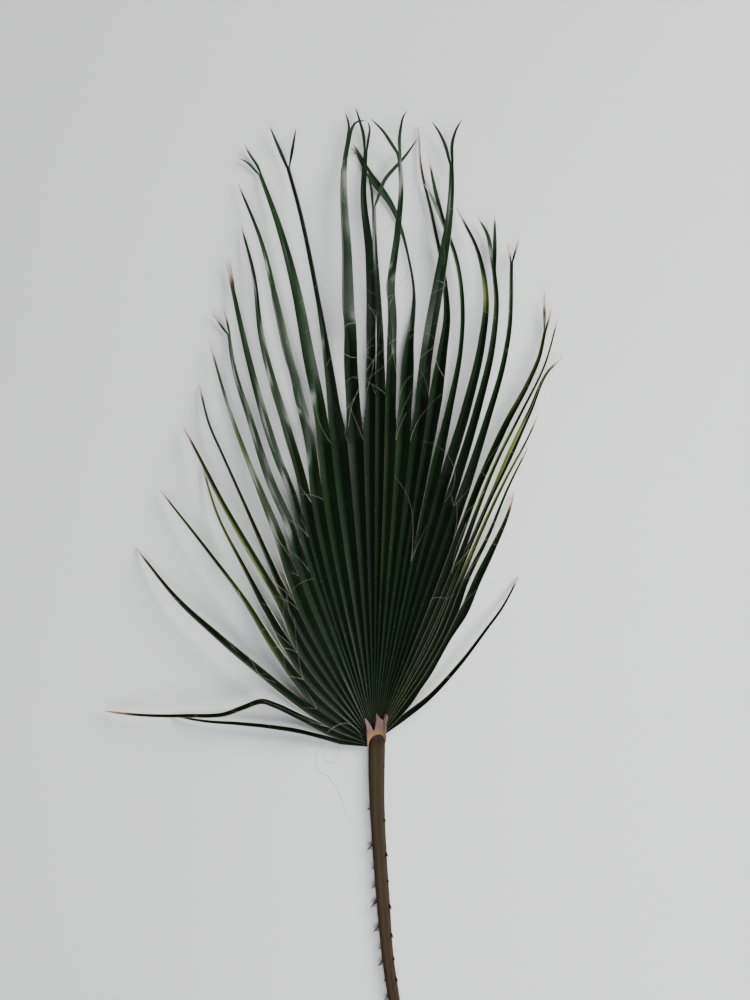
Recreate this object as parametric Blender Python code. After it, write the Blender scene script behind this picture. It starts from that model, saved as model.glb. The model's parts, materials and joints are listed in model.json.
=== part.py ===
"""A cut leaf of a fan palm, lying on its back on a flat surface.

The blade is a pleated fan: each segment is folded along its midrib, which is its lowest line, and shares its
margins with its neighbours near the stalk. Further out the segments run free, and many end in two thin tips.
The stalk carries hooked teeth, and a papery flap, the hastula, covers the place where stalk and blade meet.

The leaf is drawn with its hub, the place where the stalk ends, at x = 0 and y = 0. +Y runs from the hub
to the tips, +X to the right, seen from above, and z = 0 is the surface. The empty called leaf then moves the
hub so that the flat spot under the middle of the blade, on which the leaf rests, is at the origin.
"""

import math
from collections import namedtuple

import bmesh
import bpy
from mathutils import Vector

MM = 0.001

# Driving dimensions of the blade, in millimetres
LAMINA = 0.75
FOLD_ANGLE = math.radians(48)
CLOSED_FOLD = math.radians(62)
OPEN_FOLD = math.radians(20)
DEEPEST_PLEAT = 11.0
COLLAR_WIDTH = 11.0
COLLAR_LENGTH = 24.0
COLLAR_FIRST = -104.0
COLLAR_LAST = 66.0
HUB_HEIGHT = 6.0
LEVEL_FROM = 150.0
TROUGH_FROM = 45.0
TROUGH_SLOPE = 0.30
KEEL_DROP = 0.4
KEEL_HALF_WIDTH = 0.8
KEEL_SHARE = 0.25
STATION_RADII = (45, 65, 86, 121, 150, 192, 230, 270, 310, 345, 378, 435)
FREE_STEP = 42.0
TIP_STEP = 26.0
TIP_HALF_WIDTH = 0.75
TIP_THICKNESS = 1.0

# A margin that has just come free keeps its share of the room up to its neighbour, and no more than this
# many times the width of the segment's other half. Over this window of the free run both halves become
# alike.
FREE_MARGIN_SHARE = 0.9
FREE_MARGIN_MOST = 1.1
EVEN_FROM = 0.2
EVEN_OVER = 0.3

# The leaf rests on the flat underside of a middle midrib, here
REST_POINT = (-6.8, 211.0)

# Driving dimensions of the petiole and its teeth, in millimetres
PETIOLE_THICKNESS = 12.0
PETIOLE_PATH = ((-410, 38.0), (-322, 21.5), (-272, 14.0), (-197, 7.6), (-135, 3.2), (-72, 0.0), (24, 0.0))
PETIOLE_WIDTHS = (
    (-410, 14.0), (-270, 14.6), (-214, 16.0), (-147, 17.0), (-72, 18.6), (-10, 20.2), (24, 20.2),
)
PETIOLE_STEP = 20.0
PETIOLE_SHARP_FROM = 40
# Each corner of the stalk's section: its share of the width from the middle, and of the thickness from below
PETIOLE_SECTION = (
    (-0.26, 0.0), (0.26, 0.0), (0.43, 0.20), (0.50, 0.55), (0.42, 0.90), (0.22, 1.0),
    (0.0, 0.94), (-0.22, 1.0), (-0.42, 0.90), (-0.50, 0.55), (-0.43, 0.20),
)
NOSE_LENGTH = 23.4
NOSE_STEPS = 6
NOSE_TURN = math.radians(84)
NOSE_LIFT = 2.5
NOSE_THINNEST = 0.55
LEFT_TEETH = (
    (-41, 2.6), (-82, 5.0), (-130, 8.0), (-156, 4.4), (-179, 6.4), (-201, 9.0), (-232, 8.4),
    (-256, 5.0), (-275, 7.4), (-297, 3.4), (-319, 7.0), (-348, 5.5), (-376, 7.0),
)
RIGHT_TEETH = (
    (-29, 3.4), (-96, 5.0), (-139, 7.0), (-172, 4.6), (-204, 7.6), (-240, 7.0), (-269, 6.0),
    (-295, 6.6), (-330, 6.0), (-362, 6.6),
)
TOOTH_SIDES = 6
TOOTH_SINK = 2.0
TOOTH_HOOK = 0.62
# Half the length and depth of a tooth's foot: what every tooth has, and what it gains with each mm of height
TOOTH_HALF_LENGTH = (1.2, 0.42)
TOOTH_HALF_DEPTH = (0.9, 0.12)
# Each ring of a tooth: its share of the height, and its breadth as a share of the foot's
TOOTH_RINGS = ((0.0, 1.0), (0.35, 0.66), (0.7, 0.36), (1.0, 0.08))
# Which way the teeth of a side point, and where they stand in the stalk's thickness
LEFT_TOOTH_OUT, LEFT_TOOTH_STAND = (-0.97, 0.0, 0.24), 0.6
RIGHT_TOOTH_OUT, RIGHT_TOOTH_STAND = (0.42, 0.0, 0.91), 0.86
TOOTH_FOOT_SHARE = 0.46

# Driving dimensions of the hastula, in millimetres: each column runs from its foot to its ragged edge
HASTULA_THICKNESS = 0.8
HASTULA_FOOT_HEIGHT = 12.5
HASTULA_SLOPE = 0.233
HASTULA_ROWS = 4
HASTULA_COLUMNS = (
    ((-10.6, -7), (-12.3, -5)),
    ((-10.4, -3), (-13.2, 8)),
    ((-9.5, 1), (-13.8, 20)),
    ((-8, 4), (-15.2, 31)),
    ((-6, 6.5), (-9.4, 25)),
    ((-4, 8), (-4, 15)),
    ((-2, 9), (-2, 26)),
    ((0, 9.6), (-0.5, 37.5)),
    ((2.5, 10), (4.5, 31)),
    ((4.6, 9.6), (8.2, 28)),
    ((6.2, 8.7), (10.4, 36.5)),
    ((7.4, 7.5), (13, 35.5)),
    ((8.6, 5.3), (12.2, 24)),
    ((9.5, 2), (11.8, 11)),
    ((10, -2), (11.3, 2)),
)

# One segment of the blade. path holds the midrib's points past the collar, parts is the distance from the
# hub at which it parts from its right neighbour, widths are what is seen from above at the middle and at the
# end of its free run, or at each eighth of it, arch and end are how high the midrib climbs and ends, and tips
# are the paths of the two tips.
Segment = namedtuple("Segment", "path parts widths arch end tips fold")


def segment(path, parts, widths, arch, end, tips=(), fold=FOLD_ANGLE):
    return Segment(path, parts, widths, arch, end, tips, fold)


# The segments from left to right, in millimetres
SEGMENTS = (
    segment(((-45, 0), (-60, 4.5), (-96, 14), (-134, 20), (-177, 24), (-209, 26), (-256, 33)), 45, (5, 2.5),
            10, 2, fold=CLOSED_FOLD),
    segment(((-47, 7), (-90, 29), (-127, 47), (-142, 52), (-165, 45), (-190, 36), (-234, 34), (-315, 36),
             (-340, 39)), 65, (5.5, 2.5), 24, 8, fold=CLOSED_FOLD),
    segment(((-64, 27), (-90, 44), (-146, 89), (-196, 131), (-246, 176), (-301, 242)), 86, (9, 2), 26, 0),
    segment(((-84, 60), (-119, 105), (-167, 181), (-209, 237), (-271, 315)), 121, (5.5, 2), 22, 6),
    segment(((-95, 93), (-134, 159), (-167, 221), (-199, 284), (-219, 347)), 150, (5, 2), 12, 1),
    segment(((-95, 119), (-124, 181), (-160, 242), (-194, 302), (-221, 355), (-242, 394)), 192, (7.5, 2),
            28, 8),
    segment(((-97, 147), (-125, 206), (-159, 284), (-194, 362), (-209, 396), (-222, 446)), 192, (4, 2.5),
            16, 2),
    segment(((-96, 179), (-120, 249), (-150, 325), (-179, 400), (-201, 471), (-209, 500)), 230, (6.5, 2),
            24, 6),
    segment(((-91, 214), (-111, 277), (-130, 319), (-157, 399), (-180, 475), (-185, 509)), 230, (10, 4),
            20, 5, tips=(((-208, 536),), ((-192, 541),))),
    segment(((-87, 243), (-106, 312), (-124, 356), (-150, 440), (-171, 525), (-180, 565)), 270, (10, 5),
            24, 8, tips=(((-189, 600),), ((-177, 592),))),
    segment(((-83, 267), (-96, 334), (-122, 421), (-144, 506), (-155, 590), (-170, 646)), 310, (9, 2),
            18, 4),
    segment(((-74, 298), (-84, 377), (-106, 465), (-126, 552), (-144, 624), (-174, 699)), 310, (9.5, 2.2),
            26, 5),
    segment(((-64, 344), (-69, 396), (-85, 481), (-101, 565), (-125, 652), (-146, 709)), 378, (13, 4.5),
            20, 4, tips=(((-152, 714), (-162, 724), (-176, 731)), ((-150, 721), (-157, 731), (-166, 747)))),
    segment(((-49, 377), (-65, 502), (-81, 592), (-96, 662), (-111, 717)), 378, (6, 4.5), 26, 10,
            tips=(((-134, 769),), ((-101, 767),))),
    segment(((-26, 376), (-34, 502), (-37, 609), (-41, 709), (-40, 727)), 378, (14, 6), 20, 14,
            tips=(((-42, 787),), ((-34, 752), (-25, 770), (-14, 776)))),
    segment(((-8, 400), (-7, 502), (-9, 609), (-17, 684), (-14, 740)), 435, (12, 5), 8, 6,
            tips=(((-21, 775), (-29, 796)), ((-9, 771),))),
    segment(((4, 430), (4, 502), (1, 565), (-2, 609), (-4, 669)), 435, (7, 5), 14, 16,
            tips=(((-7, 690), (-12, 713)), ((14, 706), (27, 722), (51, 756)))),
    segment(((16, 400), (18, 515), (17, 565), (26, 640), (30, 700), (28, 726)), 378, (10, 5), 26, 26,
            tips=(((17, 745), (-7, 779)), ((30, 752), (37, 789)))),
    segment(((32, 374), (40, 490), (46, 565), (40, 602), (19, 669), (-11, 712), (-24, 736)), 378,
            (19, 15, 7, 3.2, 3, 5.5, 10, 5), 3, 1, tips=(((-33, 738),), ((-31, 748),)), fold=OPEN_FOLD),
    segment(((53, 396), (65, 502), (82, 602), (89, 646), (93, 700), (93, 721)), 435, (14, 5.5), 26, 14,
            tips=(((80, 755), (66, 777)), ((98, 752), (108, 779)))),
    segment(((72, 424), (82, 490), (87, 527), (85, 571), (70, 652), (54, 727), (52, 769)), 230, (4.5, 2),
            4, 2),
    segment(((71, 333), (90, 415), (105, 496), (107, 534), (97, 611), (85, 643)), 345, (5.5, 4.5), 5, 6,
            tips=(((66, 691),), ((75, 680), (65, 727)))),
    segment(((84, 325), (110, 412), (131, 502), (136, 552), (127, 609), (99, 668)), 310, (9, 2.2), 24, 4),
    segment(((89, 297), (125, 415), (144, 496), (149, 552), (146, 590)), 310, (9, 5), 18, 8,
            tips=(((137, 636), (125, 657)), ((147, 659),))),
    segment(((94, 269), (137, 402), (157, 471), (164, 509), (168, 600)), 270, (7, 4), 26, 10,
            tips=(((164, 622),), ((177, 627),))),
    segment(((88, 214), (132, 334), (160, 396), (190, 452), (202, 480), (210, 515)), 230, (9, 4), 18, 8,
            tips=(((209, 562),), ((218, 542),))),
    segment(((66, 142), (95, 210), (151, 355), (180, 412), (209, 471), (226, 530)), 270, (4, 2), 30, 12),
    segment(((72, 140), (100, 208), (150, 325), (190, 412), (216, 466), (232, 481)), 230, (9, 2), 20, 6),
    segment(((78, 136), (105, 205), (161, 330), (190, 384), (201, 409)), 230, (4, 2), 30, 14),
    segment(((83, 133), (111, 202), (139, 259), (164, 319), (189, 369)), 192, (4, 2), 18, 4),
    segment(((65, 87), (89, 130), (110, 168), (122, 197), (141, 236), (164, 287), (171, 311)), 45, (9, 2),
            14, 3),
    segment(((35, 32), (60, 52), (104, 99), (136, 141), (154, 165), (177, 206)), 0, (4.5, 2), 16, 1,
            fold=CLOSED_FOLD),
)


def curve_through(points, per_span=14):
    """Dense points of a smooth plane curve through the given ones, with tangents set by the neighbours."""
    points = [Vector(point) for point in points]
    spans = [(b - a).length for a, b in zip(points, points[1:])]
    tangents = [(points[1] - points[0]) / spans[0]]
    for before, here, after, one, two in zip(points, points[1:], points[2:], spans, spans[1:]):
        tangents.append(((here - before) / one * two + (after - here) / two * one) / (one + two))
    tangents.append((points[-1] - points[-2]) / spans[-1])
    dense = []
    for i, span in enumerate(spans):
        for step in range(per_span):
            t = step / per_span
            dense.append(
                points[i] * (2 * t**3 - 3 * t**2 + 1)
                + tangents[i] * span * (t**3 - 2 * t**2 + t)
                + points[i + 1] * (3 * t**2 - 2 * t**3)
                + tangents[i + 1] * span * (t**3 - t**2)
            )
    dense.append(points[-1])
    return dense


def at_radius(dense, radius):
    """Where a dense curve first passes the given distance from the hub, and the rest of it from there."""
    for i, (a, b) in enumerate(zip(dense, dense[1:])):
        if b.length >= radius > a.length:
            here = a.lerp(b, (radius - a.length) / (b.length - a.length))
            return here, [here] + dense[i + 1:]
    return dense[-1], [dense[-1]]


def evenly(dense, step):
    """Points along a dense curve, about step apart, from its first point to its last."""
    lengths = [0.0]
    for a, b in zip(dense, dense[1:]):
        lengths.append(lengths[-1] + (b - a).length)
    count = max(2, round(lengths[-1] / step))
    found, j = [dense[0]], 0
    for n in range(1, count):
        target = lengths[-1] * n / count
        while lengths[j + 1] < target:
            j += 1
        found.append(dense[j].lerp(dense[j + 1], (target - lengths[j]) / (lengths[j + 1] - lengths[j])))
    return found + [dense[-1]]


def through(pairs, x):
    """The value at x of the straight runs through the (x, value) pairs."""
    for (x0, v0), (x1, v1) in zip(pairs, pairs[1:]):
        if x <= x1:
            return v0 + (v1 - v0) * (x - x0) / (x1 - x0)
    return pairs[-1][1]


def eased(t):
    t = min(max(t, 0.0), 1.0)
    return t * t * (3 - 2 * t)


def polar(radius, bearing):
    return Vector((radius * math.sin(bearing), radius * math.cos(bearing)))


def bearing_of(point):
    return math.atan2(point.x, point.y)


def collar_point(degrees):
    angle = math.radians(degrees)
    return Vector((COLLAR_WIDTH * math.sin(angle), COLLAR_LENGTH * math.cos(angle)))


def keel_height(point):
    """How high the underside of a midrib runs in the shared part of the fan: down from the hub to the
    surface, and up again to the left and right, as in a shallow trough."""
    fall = HUB_HEIGHT * (1 - eased(point.length / LEVEL_FROM))
    return fall + TROUGH_SLOPE * max(0.0, abs(point.x) - TROUGH_FROM)


def collar_bearings():
    """The place of each midrib round the end of the stalk, in degrees."""
    step = (COLLAR_LAST - COLLAR_FIRST) / len(SEGMENTS)
    return [COLLAR_FIRST + step * (i + 0.5) for i in range(len(SEGMENTS))], step / 2


def thickness_up(fold):
    return LAMINA / math.cos(fold)


class BladeMesh:
    """The blade's faces, made station by station from points on its upper side and on its underside."""

    def __init__(self):
        self.mesh = bmesh.new()

    def point(self, plan, height):
        return self.mesh.verts.new((plan.x * MM, plan.y * MM, height * MM))

    def face(self, *corners):
        self.mesh.faces.new(corners)

    def strip(self, a0, b0, a1, b1):
        """Two triangles, always split from a0 to b1, so that both faces of a lamina are split alike."""
        self.face(a0, b0, b1)
        self.face(a0, b1, a1)


Margin = namedtuple("Margin", "top under")
Rib = namedtuple("Rib", "top left right")
Station = namedtuple("Station", "left rib right")


def rib_points(blade, plan, across, height, fold, half_gap):
    """The midrib: one point above, and two below that bound its flat keel."""
    half = min(KEEL_HALF_WIDTH, KEEL_SHARE * half_gap)
    return Rib(
        blade.point(plan, height + KEEL_DROP + thickness_up(fold)),
        blade.point(plan - across * half, height),
        blade.point(plan + across * half, height),
    )


def margin_points(blade, plan, height, depth, fold):
    low = height + KEEL_DROP + min(depth, DEEPEST_PLEAT)
    return Margin(blade.point(plan, low + thickness_up(fold)), blade.point(plan, low))


def shared_part(lines):
    """For each station radius, every midrib's place there: the collar first, then circles round the hub."""
    degrees, _ = collar_bearings()
    rows = [[collar_point(d) for d in degrees]]
    for radius in STATION_RADII:
        rows.append([at_radius(line, radius)[0] for line in lines])
    return rows


def ridge_rows(rows):
    """The ridges that neighbours share, and how far each ridge is from the midribs beside it."""
    degrees, half = collar_bearings()
    ridges = [[collar_point(d - half) for d in degrees] + [collar_point(degrees[-1] + half)]]
    for radius, row in zip(STATION_RADII, rows[1:]):
        bearings = [bearing_of(point) for point in row]
        middles = [(a + b) / 2 for a, b in zip(bearings, bearings[1:])]
        outer_left = 2 * bearings[0] - middles[0]
        outer_right = 2 * bearings[-1] - middles[-1]
        ridges.append([polar(radius, b) for b in [outer_left] + middles + [outer_right]])
    return ridges


def free_height(start, one, share):
    """The midrib's height at a share, from 0 to 1, of the segment's free run."""
    return start * (1 - share) + one.end * share + one.arch * 4 * share * (1 - share)


def across_of(points, i):
    """The unit direction to the right of the way a plane curve runs at point i."""
    ahead = points[min(i + 1, len(points) - 1)] - points[max(i - 1, 0)]
    ahead.normalize()
    return Vector((ahead.y, -ahead.x))


def width_along(start, one, share):
    """What is seen of a segment's width: straight runs through even shares where more than two are given, or
    else a curve from its start to its middle and then a straight taper."""
    if len(one.widths) > 2:
        return through([(i / len(one.widths), width) for i, width in enumerate((start, *one.widths))], share)
    middle, end = one.widths
    if share > 0.5:
        return middle + (end - middle) * (2 * share - 1)
    return (
        start * (1 - share) * (1 - 2 * share)
        + middle * 4 * share * (1 - share)
        + end * share * (2 * share - 1)
    )


def add_walls(blade, before, after, left_free, right_free):
    if left_free:
        blade.strip(before.left.top, before.left.under, after.left.top, after.left.under)
    if right_free:
        blade.strip(before.right.top, before.right.under, after.right.top, after.right.under)


def add_laminae(blade, before, after):
    """Both halves of a segment between two stations, above and below, with the keel between them."""
    blade.strip(before.left.top, before.rib.top, after.left.top, after.rib.top)
    blade.strip(before.rib.top, before.right.top, after.rib.top, after.right.top)
    blade.strip(before.left.under, before.rib.left, after.left.under, after.rib.left)
    blade.strip(before.rib.left, before.rib.right, after.rib.left, after.rib.right)
    blade.strip(before.rib.right, before.right.under, after.rib.right, after.right.under)


def close_end(blade, station):
    """The wall across a whole segment, at the collar or at a blunt tip."""
    left, rib, right = station
    blade.face(left.top, rib.top, rib.left, left.under)
    blade.face(rib.top, rib.left, rib.right)
    blade.face(rib.top, right.top, right.under, rib.right)


def tip_margin(blade, plan, height):
    return Margin(blade.point(plan, height + TIP_THICKNESS), blade.point(plan, height))


def add_tip(blade, outer, inner, path, height):
    """One of the two thin tips, a flat strip that narrows from the fork to a blunt point."""
    start = (outer.top.co.xy + inner.top.co.xy) / 2 / MM
    width = (outer.top.co.xy - inner.top.co.xy).length / 2 / MM
    places = evenly(curve_through([start] + [Vector(p) for p in path]), TIP_STEP)
    to_outer = outer.top.co.xy - inner.top.co.xy
    for i in range(1, len(places)):
        share = i / (len(places) - 1)
        across = across_of(places, i)
        if across.dot(to_outer) < 0:
            across = -across
        side = across * (width + (TIP_HALF_WIDTH - width) * share)
        next_outer = tip_margin(blade, places[i] + side, height)
        next_inner = tip_margin(blade, places[i] - side, height)
        blade.strip(outer.top, inner.top, next_outer.top, next_inner.top)
        blade.strip(outer.under, inner.under, next_outer.under, next_inner.under)
        blade.strip(outer.top, outer.under, next_outer.top, next_outer.under)
        blade.strip(inner.top, inner.under, next_inner.top, next_inner.under)
        outer, inner = next_outer, next_inner
    blade.face(outer.top, inner.top, inner.under, outer.under)


def add_free_run(blade, one, last, here, rest, gaps):
    """A segment from its last shared station to its end or fork."""
    places = evenly(rest, FREE_STEP)
    for i in range(1, len(places)):
        share = i / (len(places) - 1)
        across = across_of(places, i)
        half = width_along(sum(gaps), one, share) / 2
        near = 1 - eased((share - EVEN_FROM) / EVEN_OVER)
        left_half, right_half = [half + near * (min(half, FREE_MARGIN_SHARE * gap) - half) for gap in gaps]
        level = free_height(keel_height(here), one, share)
        depth = half * math.tan(one.fold)
        rib = rib_points(blade, places[i], across, level, one.fold, half)
        left = margin_points(blade, places[i] - across * left_half, level, depth, one.fold)
        right = margin_points(blade, places[i] + across * right_half, level, depth, one.fold)
        station = Station(left, rib, right)
        add_laminae(blade, last, station)
        add_walls(blade, last, station, True, True)
        last = station
    if not one.tips:
        close_end(blade, last)
        return
    blade.face(last.rib.top, last.rib.left, last.rib.right)
    left_path, right_path = one.tips
    add_tip(blade, last.left, Margin(last.rib.top, last.rib.left), left_path, one.end)
    add_tip(blade, last.right, Margin(last.rib.top, last.rib.right), right_path, one.end)


def shared_steps(index):
    """How many stations this segment shares with its left and its right neighbour, counting the collar."""
    radii = (0,) + STATION_RADII
    left = radii.index(SEGMENTS[index - 1].parts) if index else 0
    right = radii.index(SEGMENTS[index].parts)
    return left, right


def shared_margin(blade, made, rows, ridges, k, ridge):
    """The margin that the segments on both sides of a ridge share at station k, made once."""
    if (k, ridge) not in made:
        beside = rows[k][max(ridge - 1, 0)], rows[k][min(ridge, len(SEGMENTS) - 1)]
        place = ridges[k][ridge]
        level = sum(keel_height(midrib) for midrib in beside) / 2
        depth = (place - beside[0]).length * math.tan(FOLD_ANGLE)
        made[k, ridge] = margin_points(blade, place, level, depth, FOLD_ANGLE)
    return made[k, ridge]


def loose_gap(gap, other_gap):
    """The room that a margin takes up once it is free while the segment's other margin is still shared."""
    return min(gap, other_gap * FREE_MARGIN_MOST / FREE_MARGIN_SHARE)


def loose_margin(blade, one, here, out, gap):
    """A margin that is free already while the segment's other margin is still shared."""
    half = gap * FREE_MARGIN_SHARE
    return margin_points(blade, here + out * half, keel_height(here), half * math.tan(FOLD_ANGLE), one.fold)


def add_segment(blade, i, line, rows, ridges, made):
    """A whole segment, from the collar to its tips."""
    one = SEGMENTS[i]
    left_steps, right_steps = shared_steps(i)
    last = None
    for k in range(max(left_steps, right_steps) + 1):
        here = rows[k][i]
        left_gap, right_gap = (ridges[k][i] - here).length, (ridges[k][i + 1] - here).length
        across = (ridges[k][i + 1] - ridges[k][i]).normalized()
        if k <= left_steps:
            left = shared_margin(blade, made, rows, ridges, k, i)
        else:
            left_gap = loose_gap(left_gap, right_gap)
            left = loose_margin(blade, one, here, -across, left_gap)
        if k <= right_steps:
            right = shared_margin(blade, made, rows, ridges, k, i + 1)
        else:
            right_gap = loose_gap(right_gap, left_gap)
            right = loose_margin(blade, one, here, across, right_gap)
        rib = rib_points(blade, here, across, keel_height(here), one.fold, min(left_gap, right_gap))
        station = Station(left, rib, right)
        if last is None:
            close_end(blade, station)
        else:
            add_laminae(blade, last, station)
            add_walls(blade, last, station, k > left_steps, k > right_steps)
        last = station
    _, rest = at_radius(line, STATION_RADII[max(left_steps, right_steps) - 1])
    add_free_run(blade, one, last, here, rest, (left_gap, right_gap))


def add_segments(blade):
    degrees, _ = collar_bearings()
    lines = [curve_through([collar_point(d)] + list(one.path)) for d, one in zip(degrees, SEGMENTS)]
    rows = shared_part(lines)
    ridges = ridge_rows(rows)
    made = {}
    for i, line in enumerate(lines):
        add_segment(blade, i, line, rows, ridges, made)


def material(name, colour, roughness):
    made = bpy.data.materials.new(name)
    made.use_nodes = True
    shader = made.node_tree.nodes["Principled BSDF"]
    shader.inputs["Base Color"].default_value = (*colour, 1.0)
    shader.inputs["Roughness"].default_value = roughness
    shader.inputs["Metallic"].default_value = 0.0
    return made


def finished(name, mesh, surface, parent, sharp_from):
    """A named object of the mesh, with its faces turned out, its material and its parent."""
    bmesh.ops.recalc_face_normals(mesh, faces=mesh.faces)
    data = bpy.data.meshes.new(name)
    mesh.to_mesh(data)
    mesh.free()
    data.shade_smooth()
    data.set_sharp_from_angle(angle=math.radians(sharp_from))
    data.materials.append(surface)
    made = bpy.data.objects.new(name, data)
    made.parent = parent
    bpy.context.scene.collection.objects.link(made)
    return made


def add_blade(parent):
    blade = BladeMesh()
    add_segments(blade)
    bmesh.ops.triangulate(blade.mesh, faces=blade.mesh.faces)
    skin = material("leaf green", (0.075, 0.13, 0.06), 0.5)
    return finished("blade", blade.mesh, skin, parent, sharp_from=35)


def petiole_centre(y):
    """How far to the right of the hub the middle of the stalk runs at y."""
    dense = curve_through(PETIOLE_PATH)
    return through([(point.x, point.y) for point in dense], y)


def petiole_ring(mesh, y, width, thickness, lift):
    """A section of the stalk: flat below, widest past half its height, and a little hollow on top."""
    x = petiole_centre(y)
    return [
        mesh.verts.new(((x + width * u) * MM, y * MM, (lift + thickness * v) * MM))
        for u, v in PETIOLE_SECTION
    ]


def petiole_body():
    """The stalk without teeth, from its plain cut end to the rounded nose that the blade wraps round."""
    mesh = bmesh.new()
    start = PETIOLE_PATH[0][0]
    count = round(-start / PETIOLE_STEP)
    rings = []
    for n in range(count + 1):
        y = start * (1 - n / count)
        rings.append(petiole_ring(mesh, y, through(PETIOLE_WIDTHS, y), PETIOLE_THICKNESS, 0.0))
    for n in range(1, NOSE_STEPS + 1):
        angle = NOSE_TURN * n / NOSE_STEPS
        shrink = math.cos(angle)
        thickness = PETIOLE_THICKNESS * (NOSE_THINNEST + (1 - NOSE_THINNEST) * shrink)
        width = PETIOLE_WIDTHS[-1][1] * shrink
        lift = NOSE_LIFT * (1 - shrink)
        rings.append(petiole_ring(mesh, NOSE_LENGTH * math.sin(angle), width, thickness, lift))
    for a, b in zip(rings, rings[1:]):
        for i in range(len(a)):
            j = (i + 1) % len(a)
            mesh.faces.new((a[i], a[j], b[j], b[i]))
    mesh.faces.new(rings[0])
    mesh.faces.new(rings[-1])
    return mesh


def tooth(y, height, side):
    """A hooked tooth: a tapering, flattened cone that leaves the margin and bends towards the cut end."""
    mesh = bmesh.new()
    out, stand = (LEFT_TOOTH_OUT, LEFT_TOOTH_STAND) if side < 0 else (RIGHT_TOOTH_OUT, RIGHT_TOOTH_STAND)
    out = Vector(out)
    x = petiole_centre(y) + side * TOOTH_FOOT_SHARE * through(PETIOLE_WIDTHS, y)
    foot = Vector((x, y, stand * PETIOLE_THICKNESS))
    along = Vector((0.0, 1.0, 0.0))
    flat = out.cross(along)
    half_length = TOOTH_HALF_LENGTH[0] + TOOTH_HALF_LENGTH[1] * height
    half_depth = TOOTH_HALF_DEPTH[0] + TOOTH_HALF_DEPTH[1] * height
    rings = []
    for share, breadth in TOOTH_RINGS:
        reach = -TOOTH_SINK + (height + TOOTH_SINK) * share
        centre = foot + out * reach - along * (TOOTH_HOOK * height * share**2)
        ring = []
        for n in range(TOOTH_SIDES):
            turn = 2 * math.pi * n / TOOTH_SIDES
            corner = along * half_length * math.cos(turn) + flat * half_depth * math.sin(turn)
            ring.append(mesh.verts.new((centre + corner * breadth) * MM))
        rings.append(ring)
    for a, b in zip(rings, rings[1:]):
        for i in range(TOOTH_SIDES):
            j = (i + 1) % TOOTH_SIDES
            mesh.faces.new((a[i], a[j], b[j], b[i]))
    mesh.faces.new(rings[0])
    mesh.faces.new(rings[-1])
    bmesh.ops.recalc_face_normals(mesh, faces=mesh.faces)
    return mesh


def add_petiole(parent):
    """The stalk with its teeth, joined by one Boolean union."""
    skin = material("stalk brown", (0.17, 0.12, 0.06), 0.45)
    stalk = finished("petiole", petiole_body(), skin, parent, PETIOLE_SHARP_FROM)
    teeth = bpy.data.collections.new("teeth")
    bpy.context.scene.collection.children.link(teeth)
    for side, row in ((-1, LEFT_TEETH), (1, RIGHT_TEETH)):
        for y, height in row:
            data = bpy.data.meshes.new("tooth")
            shape = tooth(y, height, side)
            shape.to_mesh(data)
            shape.free()
            piece = bpy.data.objects.new("tooth", data)
            piece.parent = parent
            teeth.objects.link(piece)
    union = stalk.modifiers.new("teeth", "BOOLEAN")
    union.operation = "UNION"
    union.operand_type = "COLLECTION"
    union.collection = teeth
    union.solver = "EXACT"
    bpy.context.view_layer.update()
    joined = bpy.data.meshes.new_from_object(stalk.evaluated_get(bpy.context.evaluated_depsgraph_get()))
    stalk.modifiers.clear()
    stalk.data = joined
    joined.name = "petiole"
    joined.shade_smooth()
    joined.set_sharp_from_angle(angle=math.radians(PETIOLE_SHARP_FROM))
    for piece in list(teeth.objects):
        bpy.data.objects.remove(piece)
    bpy.data.collections.remove(teeth)
    return stalk


def add_hastula(parent):
    """The papery flap: a thin sheet that stands on the stalk's end and leans over the pleats' start."""
    mesh = bmesh.new()
    columns = []
    for foot, edge in HASTULA_COLUMNS:
        foot, edge = Vector(foot), Vector(edge)
        length = (edge - foot).length
        column = []
        for row in range(HASTULA_ROWS + 1):
            share = row / HASTULA_ROWS
            place = foot.lerp(edge, share)
            level = HASTULA_FOOT_HEIGHT + HASTULA_SLOPE * length * math.sin(share * math.pi / 2)
            corner = (place.x * MM, place.y * MM)
            column.append((
                mesh.verts.new((*corner, (level + HASTULA_THICKNESS) * MM)),
                mesh.verts.new((*corner, level * MM)),
            ))
        columns.append(column)
    for a, b in zip(columns, columns[1:]):
        for row in range(HASTULA_ROWS):
            for level in (0, 1):
                mesh.faces.new((a[row][level], b[row][level], b[row + 1][level]))
                mesh.faces.new((a[row][level], b[row + 1][level], a[row + 1][level]))
        for row in (0, HASTULA_ROWS):
            mesh.faces.new((a[row][0], b[row][0], b[row][1], a[row][1]))
    for column in (columns[0], columns[-1]):
        for low, high in zip(column, column[1:]):
            mesh.faces.new((low[0], high[0], high[1], low[1]))
    skin = material("papery tan", (0.43, 0.28, 0.24), 0.7)
    return finished("hastula", mesh, skin, parent, sharp_from=60)


def build():
    for thing in list(bpy.data.objects):
        bpy.data.objects.remove(thing)
    leaf = bpy.data.objects.new("leaf", None)
    leaf.location = (-REST_POINT[0] * MM, -REST_POINT[1] * MM, 0.0)
    bpy.context.scene.collection.objects.link(leaf)
    add_blade(leaf)
    add_petiole(leaf)
    add_hastula(leaf)


build()
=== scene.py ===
"""The looks of a cut fan palm leaf that lies on a pale floor.

The leaf is drawn round its hub, the place where the stalk ends: +Y runs to the tips, +X to the right, seen from
above, and z = 0 is the surface. Plan sizes and heights are in millimetres until a mesh is made, and the hub is
moved so that the flat spot on which the leaf rests is at the origin.
"""

import json
import math
import random
from collections import namedtuple

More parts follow.
